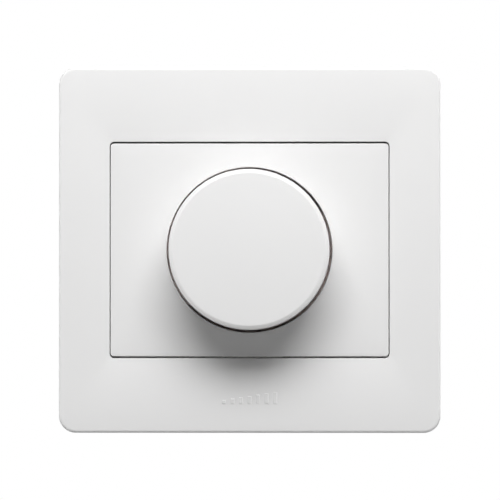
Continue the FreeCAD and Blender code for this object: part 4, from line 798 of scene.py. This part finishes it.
can_steel = metal("drawn_can_steel", (0.5, 0.5, 0.51), 0.3, 0.08)
carbon = plastic("carbon_track", (0.05, 0.045, 0.04), 0.5, grain=5000.0, grain_depth=0.3)
silver = metal("silver_plate", (0.72, 0.72, 0.70), 0.2, 0.05)
rounded_copy("control_can", can_steel, 0.12, 3)
rounded_copy("resistance_track", carbon, 0.05)
rounded_copy("control_rotor", nylon, 0.12)
rounded_copy("control_wiper", silver, 0.05)

# Spindle, bushing and nuts
# The nylon spindle turns in a threaded bushing that a hexagon nut and washer clamp to
# the steel plate. A notched ring nut on the same thread holds the centre plate.

rounded_copy("spindle", nylon, 0.15)
rounded_copy("bushing_washer", zinc, 0.08)
rounded_copy("bushing_nut", zinc, 0.25, 3)
rounded_copy("cover_ring_nut", nickel, 0.15, 3)

profile = [(3.06, -1.0), (8.0, -1.0), (8.0, 0.0), (4.6, 0.0), (4.6, 8.6), (3.06, 8.6)]
core = turned("bushing_core", eased(profile, 0.15, 3), closed=True, steps=96)
sleeve = threaded("bushing_thread", nickel, 0.05, 8.5, 0.75, 5.0, 0.4)
stands_for(new_piece("turned_bushing", [core, sleeve], nickel, 40), "threaded_bushing")

# Housing screws
# Four slotted pan head screws, zinc plated, that cut their own thread in the housing's
# bosses and hold the steel plate to it.

screws = []
for number, (across, up) in enumerate([(x, z) for x in (-16.6, 16.6) for z in (-18.4, 18.4)]):
    screw = slotted_screw(
        "housing_screw", (2.3, 1.5), (1.3, 9.0), (0.85, 0.8), (0.7, 0.7), 0.8, 0.25, zinc
    )
    screws.append(in_place(screw, across, 1.0, up, 24.0 + 41.0 * number))
stands_for(new_piece("housing_screw_set", screws, zinc), "housing_screws")

# Expanding claws
# Each is a bell crank folded from spring steel, on a pin between two ears of the steel
# plate. Its screw presses on the pad, and its teeth then bite into the wall box.

for side, across, turn in (("left", -23.6, 63.0), ("right", 23.6, -28.0)):
    rounded_copy(side + "_claw", spring_steel, 0.08)
    rounded_copy(side + "_claw_pin", zinc, 0.2, 3)
    screw = slotted_screw(
        "claw_screw", (2.3, 1.7), (1.5, 6.5), (0.9, 0.8), (0.8, 0.8), 0.5, 0.25, zinc
    )
    screw = new_piece(side + "_slotted_screw", in_place(screw, across, 2.6, 0.0, turn), zinc)
    stands_for(screw, side + "_claw_screw")

# Outer frame
# Moulded in satin white with a round front edge. Behind it are a collar round the
# opening, thin ribs that stand on the steel plate, and barbs that snap into its tabs.

# Painted shade: the seam round the centre plate is painted dark, for shade between the parts.
# Painted light: the gap round the knob is painted a warmer, lighter white, for light that
# soaks through the white plastic.
inputs = {"Place": "Vector", "Colour": "Color", "Ring Shade": "Color", "Seam Shade": "Color"}
inputs.update(dict.fromkeys(("Ring Radius", "Seam Width", "Seam Height", "Level"), "Float"))
gap_shade, inside = new_group("gap_shade", "ShaderNodeTree", inputs, {"Colour": "Color"})
maths = partial(arithmetic, gap_shade)
point = put(gap_shade, "ShaderNodeSeparateXYZ", {"Vector": inside["Place"]}).outputs


def below_level(fade):
    """Rises from none at the level to one, a fade deeper into the gap."""
    depth = maths("DIVIDE", maths("ADD", point["Y"], inside["Level"]), fade)
    return maths("MINIMUM", maths("MAXIMUM", depth, 0.0), 1.0)


# Noise makes the painted light in the ring and the painted shade in the seam patchy.
painted_patchiness = spread(gap_shade, scaled_noise(gap_shade, inside["Place"], 700.0, 3.0), 0.75, 1.0)
squares = [maths("MULTIPLY", point[axis], point[axis]) for axis in "XZ"]
from_axis = maths("SQRT", maths("ADD", *squares))
in_ring = maths("LESS_THAN", from_axis, inside["Ring Radius"])
in_ring = maths("MULTIPLY", maths("MULTIPLY", in_ring, below_level(1.2 * MM)), painted_patchiness)
past = []
for axis, size in (("X", "Seam Width"), ("Z", "Seam Height")):
    half = maths("MULTIPLY", inside[size], 0.5)
    past.append(maths("SUBTRACT", maths("ABSOLUTE", point[axis]), half))
from_seam = maths("ABSOLUTE", maths("MAXIMUM", *past))
in_seam = maths("LESS_THAN", from_seam, 0.3 * MM)
in_seam = maths("MULTIPLY", maths("MULTIPLY", in_seam, below_level(0.3 * MM)), painted_patchiness)
# Painted light: a warmer, lighter white in the knob's gap. Painted shade: a dark colour in the
# seam.
colour = mixed_colour(gap_shade, in_ring, inside["Colour"], inside["Ring Shade"])
colour = mixed_colour(gap_shade, in_seam, colour, inside["Seam Shade"])
put(gap_shade, "NodeGroupOutput", {"Colour": colour})

# Ring Shade is the painted warm light in the knob's gap. Seam Shade is the painted shade in the
# seam.
GAP_VALUES = {
    "Ring Shade": (1.0, 0.87, 0.84, 1),
    "Seam Shade": (0.20, 0.185, 0.18, 1),
    "Ring Radius": 18.6 * MM,
    "Seam Width": 62.1 * MM,
    "Seam Height": 47.8 * MM,
    "Level": 9.9 * MM,
}


def white_plastic(name, colour, gloss):
    """Satin white plastic, with painted warm light in the knob's gap and painted shade in the
    plate's seam.
    """
    material = plastic(name, colour, gloss, 9000.0, grain_depth=0.05, flow=0.004, ior=1.4)
    tree = material.node_tree
    colour_socket = tree.nodes["Principled BSDF"].inputs["Base Color"]
    values = {"Place": put(tree, "ShaderNodeTexCoord").outputs["Object"], **GAP_VALUES}
    values["Colour"] = colour_socket.links[0].from_socket
    group = put(tree, "ShaderNodeGroup", values, node_tree=gap_shade)
    tree.links.new(group.outputs["Colour"], colour_socket)
    return material


# Painted shade: the frame's white is a little darker than the knob's, for dimmer light on the
# frame.
satin_white = white_plastic("satin_white", (0.785, 0.783, 0.781), 0.34)


def quarter(steps):
    """Sines and cosines over a quarter turn, for a rounded edge."""
    turns = [math.pi / 2 * i / steps for i in range(steps + 1)]
    return [(math.sin(t), math.cos(t)) for t in turns]


POINTS_ROUND = 192
FRAME = (85.0, 81.5, 3.8)
FRAME_DEPTH = 10.0
FRAME_EDGE = 0.7
OPENING = (62.3, 48.2, 1.05)
NARROW_EDGE = 0.15
COLLAR_BACK, UNDER_FACE = 4.0, 8.0


def grown(outline, by, out):
    """Points round a rectangle with round corners, grown on all sides, at a level out."""
    width, height, corner = outline
    corner = max(corner + by, 0.02)
    steps = POINTS_ROUND // 4
    points = []
    for i, (right, up) in enumerate(((1, 1), (-1, 1), (-1, -1), (1, -1))):
        for step in range(steps):
            turn = math.pi / 2 * (i + step / (steps - 1))
            x = right * ((width + 2 * by) / 2 - corner) + corner * math.cos(turn)
            z = up * ((height + 2 * by) / 2 - corner) + corner * math.sin(turn)
            points.append((x, -out, z))
    return points


def front_edge(outline, edge, level, steps):
    """Loops from an outline's side over its round edge to its face."""
    return [grown(outline, edge * (c - 1), level - edge * (1 - s)) for s, c in quarter(steps)]


loops = [grown(FRAME, -0.15, 0.0), grown(FRAME, 0.0, 0.15)]
loops += front_edge(FRAME, FRAME_EDGE, FRAME_DEPTH, 10)
loops += [
    grown(OPENING, NARROW_EDGE * (1 - s), FRAME_DEPTH - NARROW_EDGE * (1 - c))
    for s, c in quarter(5)
]
loops += [grown(OPENING, 0.0, COLLAR_BACK + 0.1), grown(OPENING, 0.1, COLLAR_BACK)]
loops += [grown(OPENING, 1.2, COLLAR_BACK), grown(OPENING, 1.3, COLLAR_BACK + 0.1)]
loops += [grown(OPENING, 1.3, UNDER_FACE), grown(FRAME, -1.8, UNDER_FACE)]
loops += [grown(FRAME, -1.8, 0.15), grown(FRAME, -1.65, 0.0)]
outer_frame = new_piece("frame_moulding", lofted("frame_moulding", loops, True), satin_white)
stands_for(outer_frame, "outer_frame")

# Ribs and bars in a row, each as wide as the rest and maybe higher than the last.
row_tree, inside = geometry_tree(
    "row_of_ribs", "Pitch", "Width", "Depth", "Length", "Growth", Count="Int"
)
maths = partial(arithmetic, row_tree)
span = maths("MULTIPLY", maths("SUBTRACT", inside["Count"], 1.0), inside["Pitch"])
first = vector(row_tree, X=maths("MULTIPLY", span, -0.5))
step = vector(row_tree, X=inside["Pitch"])
values = {"Count": inside["Count"], "Start Location": first, "Offset": step}
feet = put(row_tree, "GeometryNodeMeshLine", values).outputs["Mesh"]
cube = put(row_tree, "GeometryNodeMeshCube", {"Size": (1, 1, 1)}).outputs["Mesh"]
standing = moved(row_tree, cube, Translation=(0, -0.5, 0.5))
number = put(row_tree, "GeometryNodeInputIndex").outputs["Index"]
reach = maths("ADD", inside["Length"], maths("MULTIPLY", number, inside["Growth"]))
scale = vector(row_tree, X=inside["Width"], Y=inside["Depth"], Z=reach)
end_copies(row_tree, inside, feet, standing, Scale=scale)


def ribs(name, count, pitch, width, depth, length, growth=0.0):
    lengths = {"Pitch": pitch, "Width": width, "Depth": depth, "Length": length, "Growth": growth}
    return made_by(row_tree, name, satin_white, lengths, {"Count": count})


def ribs_all_round(name, node, pitch, depth, out, ends, sides):
    """Pairs of ribs at both ends and sides, each of a start from the axis and a length."""
    rows = []
    for turn in (0, 90, 180, 270):
        start, length = sides if turn % 180 else ends
        row = in_place(ribs("row", 2, pitch, 1.0, depth, length), out=out, up=start)
        rows.append(in_place(row, turn=turn))
    piece = new_piece(name, rows, satin_white)
    round_edges(piece, 0.1)
    goes_with(piece, node)


ribs_all_round("frame_ribs", "outer_frame", 40.0, 7.2, 1.0, (25.2, 14.0), (32.2, 8.8))

FOOT_OF_BARS = -34.25
bars = in_place(ribs("rising_bars", 7, 1.9, 0.8, 0.65, 0.8, 0.3), out=9.5, up=FOOT_OF_BARS)
rising_bars = new_piece("rising_bars", bars, satin_white)
round_edges(rising_bars, 0.07, 3)
goes_with(rising_bars, "outer_frame")

BARBS_UP, BARB_WIDTH = 13.0, 3.5
face = OPENING[0] / 2 + 1.3
outline = [(face - 0.3, 6.0), (face - 0.3, 4.4), (face, 4.4), (face + 0.9, 6.0)]
barbs = []
for side, middle in [(side, up) for side in (-1, 1) for up in (-BARBS_UP, BARBS_UP)]:
    ends = (middle - BARB_WIDTH / 2, middle + BARB_WIDTH / 2)
    loops = [[(side * x, -out, up) for x, out in outline] for up in ends]
    barbs.append(lofted("barb", loops, closed=False, smooth=False))
frame_barbs = new_piece("frame_barbs", barbs, satin_white)
round_edges(frame_barbs, 0.08)
goes_with(frame_barbs, "outer_frame")

places = [(x, z) for x in (-36.6, 36.6) for z in (-34.0, -8.0, 8.0, 34.0)]
places += [(x, z) for x in (-8.0, 8.0) for z in (-32.5, 32.5)]
goes_with(ejector_marks("frame_pin_marks", places, UNDER_FACE, 1.5, satin_white), "outer_frame")

# Centre plate
# A satin white cover with a thin skirt, a little proud of the frame, and a round well
# for the knob. The ring nut clamps it to the steel plate through a hole in its floor.

# Painted shade: the plate's white is a little darker than the knob's, to tone down the light on it.
plate_white = white_plastic("plate_white", (0.77, 0.768, 0.766), 0.34)
PLATE = (61.9, 47.35, 0.75)
PLATE_OUT = 10.3
WELL, WELL_EDGE = 18.42, 0.25
PLATE_BACK, WELL_FLOOR, PLATE_UNDER_FACE = 4.0, 5.4, 8.5
CENTRE_HOLE = 5.3
loops = [grown(PLATE, -0.1, 1.0), grown(PLATE, 0.0, 1.1)]
loops += front_edge(PLATE, NARROW_EDGE, PLATE_OUT, 5)
walls = [(WELL + WELL_EDGE * (1 - s), PLATE_OUT - WELL_EDGE * (1 - c)) for s, c in quarter(5)]
walls += [(WELL, WELL_FLOOR + 0.1), (WELL - 0.1, WELL_FLOOR)]
walls += [(CENTRE_HOLE + 0.1, WELL_FLOOR), (CENTRE_HOLE, WELL_FLOOR - 0.1)]
walls += [(CENTRE_HOLE, PLATE_BACK + 0.1), (CENTRE_HOLE + 0.1, PLATE_BACK)]
walls += [(WELL + 1.1, PLATE_BACK), (WELL + 1.2, PLATE_BACK + 0.1)]
walls += [(WELL + 1.2, PLATE_UNDER_FACE)]
loops += [circle_loop(radius, level, POINTS_ROUND) for radius, level in walls]
loops += [grown(PLATE, -1.2, level) for level in (PLATE_UNDER_FACE, 1.1)]
loops += [grown(PLATE, -1.1, 1.0)]
plate = lofted("plate_moulding", loops, True)
notches = [block(3.0, 4.5, 9.0, side * PLATE[0] / 2, 0.5, 0.0) for side in (-1, 1)]
plate = carved("plate_moulding", plate, notches)
stands_for(new_piece("plate_moulding", plate, plate_white), "centre_plate")

ribs_all_round("plate_ribs", "centre_plate", 16.0, 4.7, PLATE_BACK, (17.6, 5.3), (17.6, 12.3))
places = [(x, z) for x in (-25.5, 25.5) for z in (-17.5, 0.0, 17.5)]
marks = ejector_marks("plate_pin_marks", places, PLATE_UNDER_FACE, 1.5, satin_white)
goes_with(marks, "centre_plate")

# Knob and its clip
# A hollow satin white cap with a bevelled, faintly crowned face. Inside, six ribs hold
# a slotted hub, which an open ring of spring steel squeezes onto the spindle.

knob_white = white_plastic("knob_white", (0.80, 0.798, 0.796), 0.32)
FACE, CROWN, BEVEL = 24.8, 0.45, 0.45
KNOB_BORE, KNOB_CEILING, KNOB_FOOT = 15.6, 22.8, 7.3
profile = [(15.0, KNOB_CEILING), (KNOB_BORE, KNOB_CEILING), (KNOB_BORE, KNOB_FOOT)]
profile += [(17.9, KNOB_FOOT), (17.5, FACE - CROWN - BEVEL), (16.65, FACE - CROWN)]
profile += [(2.0 * i, FACE - CROWN * (i / 8) ** 2) for i in range(7, 0, -1)]
shell = turned("knob_shell", eased(profile, 0.2, 5), steps=256)

HUB_RADIUS, HUB_BORE, HUB_FLAT = 5.2, 3.06, 1.96
HUB_FOOT, FINGERS_FOOT = 14.1, 10.1
hub_ring, hub_bore = [], []
for x, y, z in circle_loop(1.0, 0.0, 96):
    hub_ring.append((HUB_RADIUS * x, HUB_RADIUS * z))
    hub_bore.append((HUB_BORE * x, max(HUB_BORE * z, -HUB_FLAT)))


def hub_part(name, foot, ring_top, bore_top):
    """A length of the hub, from its foot to the tops of its outside and its bore."""
    ends = ((hub_ring, foot), (hub_ring, ring_top), (hub_bore, bore_top), (hub_bore, foot))
    return lofted(name, [[(x, -out, z) for x, z in points] for points, out in ends], True)


hub = hub_part("hub", HUB_FOOT, 22.9, 22.5)
fingers = hub_part("hub_fingers", FINGERS_FOOT, HUB_FOOT, HUB_FOOT)
fingers = carved("hub_fingers", fingers, [block(1.0, 4.2, 12.0, 0.0, 10.0)])

star_tree, inside = geometry_tree(
    "ring_of_ribs", "Inner Radius", "Outer Radius", "Thickness", "Depth", Count="Int"
)
maths = partial(arithmetic, star_tree)
middle = put(star_tree, "GeometryNodeMeshLine", {"Count": inside["Count"], "Offset": (0, 0, 0)})
long = maths("SUBTRACT", inside["Outer Radius"], inside["Inner Radius"])
size = vector(star_tree, X=long, Y=inside["Depth"], Z=inside["Thickness"])
rib = put(star_tree, "GeometryNodeMeshCube", {"Size": size}).outputs["Mesh"]
outwards = maths("ADD", maths("MULTIPLY", long, 0.5), inside["Inner Radius"])
offset = vector(star_tree, X=outwards, Y=maths("MULTIPLY", inside["Depth"], -0.5))
rib = moved(star_tree, rib, Translation=offset)
number = put(star_tree, "GeometryNodeInputIndex").outputs["Index"]
turn = maths("MULTIPLY", number, maths("DIVIDE", math.tau, inside["Count"]))
values = {"Euler": vector(star_tree, Y=turn)}
turn = put(star_tree, "FunctionNodeEulerToRotation", values).outputs["Rotation"]
end_copies(star_tree, inside, middle.outputs["Mesh"], rib, Rotation=turn)

lengths = {"Inner Radius": 4.6, "Outer Radius": 16.0, "Thickness": 1.0, "Depth": 7.1}
knob_ribs = in_place(made_by(star_tree, "knob_ribs", knob_white, lengths, {"Count": 6}), out=15.8)
knob = new_piece("knob_moulding", [shell, hub, fingers, knob_ribs], knob_white, 28)
stands_for(knob, "knob")
rounded_copy("knob_clip", spring_steel, 0.1)

# Stage
# A pale floor well below the part and a white surround. One wide soft lamp stands above
# the front, weak ones graze the edges, one lights the back, and the camera is almost square.


def white_to_the_eye(tree, kind, lighting, output):
    """White where the camera sees it or its reflection, but lighting as a shader says."""
    path = put(tree, "ShaderNodeLightPath").outputs
    seen = arithmetic(tree, "MAXIMUM", path["Is Camera Ray"], path["Is Glossy Ray"])
    seen = arithmetic(tree, "MAXIMUM", seen, path["Is Transmission Ray"])
    white = put(tree, kind, {"Color": (1, 1, 1, 1), "Strength": 1.0})
    mixed = put(tree, "ShaderNodeMixShader")
    for index, value in enumerate((seen, lighting, white.outputs[0])):
        tree.links.new(value, mixed.inputs[index])
    tree.links.new(mixed.outputs["Shader"], output)


floor = bpy.data.meshes.new("floor")
FLOOR_REACH, FLOOR_UP = 6.0, -0.8
corners = [(FLOOR_REACH * x, FLOOR_REACH * y) for x, y in ((-1, -1), (1, -1), (1, 1), (-1, 1))]
floor.from_pydata([(x, y, FLOOR_UP) for x, y in corners], [], [(0, 1, 2, 3)])
pale, tree, shader = new_material("pale_floor")
feed_all(tree, shader, {"Base Color": (0.8, 0.8, 0.8, 1), "Roughness": 0.9})
output = tree.nodes["Material Output"].inputs["Surface"]
white_to_the_eye(tree, "ShaderNodeEmission", shader.outputs["BSDF"], output)
floor_piece = new_piece("floor", floor, pale)

world = bpy.data.worlds.new("studio")
bpy.context.scene.world = world
world.use_nodes = True
tree = world.node_tree
tree.nodes.clear()
dim = put(tree, "ShaderNodeBackground", {"Color": (1, 1, 1, 1), "Strength": 0.01})
output = put(tree, "ShaderNodeOutputWorld").inputs["Surface"]
white_to_the_eye(tree, "ShaderNodeBackground", dim.outputs["Background"], output)


def soft_box(name, direction, distance, size, power):
    """An area lamp that looks at the knob from a direction."""
    lamp = bpy.data.lights.new(name, "AREA")
    lamp.shape = "RECTANGLE"
    lamp.size, lamp.size_y = size
    lamp.energy = power
    holder = new_object(name, lamp)
    holder.location = Vector(direction).normalized() * distance
    holder.rotation_euler = (-Vector(holder.location)).to_track_quat("-Z", "Y").to_euler()


def from_front(name, tilt, side, distance, size, power):
    """A lamp tilted off the knob's axis in degrees, towards a side across and up."""
    tilt = math.radians(tilt)
    across, up = side
    direction = (across * math.sin(tilt), -math.cos(tilt), up * math.sin(tilt))
    soft_box(name, direction, distance, size, power)


from_front("key_box", 41.5, (0.04, 1), 0.7, (0.62, 0.3), 5.95)
from_front("top_box", 70, (0, 1), 0.9, (0.6, 0.3), 1.2)
from_front("left_box", 87, (-1, 0.05), 0.6, (0.3, 0.3), 1.0)
from_front("right_box", 87, (1, 0.05), 0.6, (0.3, 0.3), 1.0)
from_front("low_box", 87, (0, -1), 0.6, (0.4, 0.2), 0.28)
soft_box("rear_box", (0.3, 0.8, 0.6), 1.2, (1.0, 1.0), 8.0)

eye_turn, eye_lift, eye_distance = math.radians(0.6), math.radians(-0.6), 0.61
aim = Vector((0, 0, 0.09 * MM))
camera = bpy.data.cameras.new("camera")
camera.lens = 194.0
camera.sensor_width = 36.0
eye = new_object("camera", camera)
away = Vector((math.sin(eye_turn), -math.cos(eye_turn), math.tan(eye_lift))).normalized()
eye.location = aim + away * eye_distance
eye.rotation_euler = (-away).to_track_quat("-Z", "Y").to_euler()
bpy.context.scene.camera = eye
bpy.context.scene.view_settings.view_transform = "Standard"
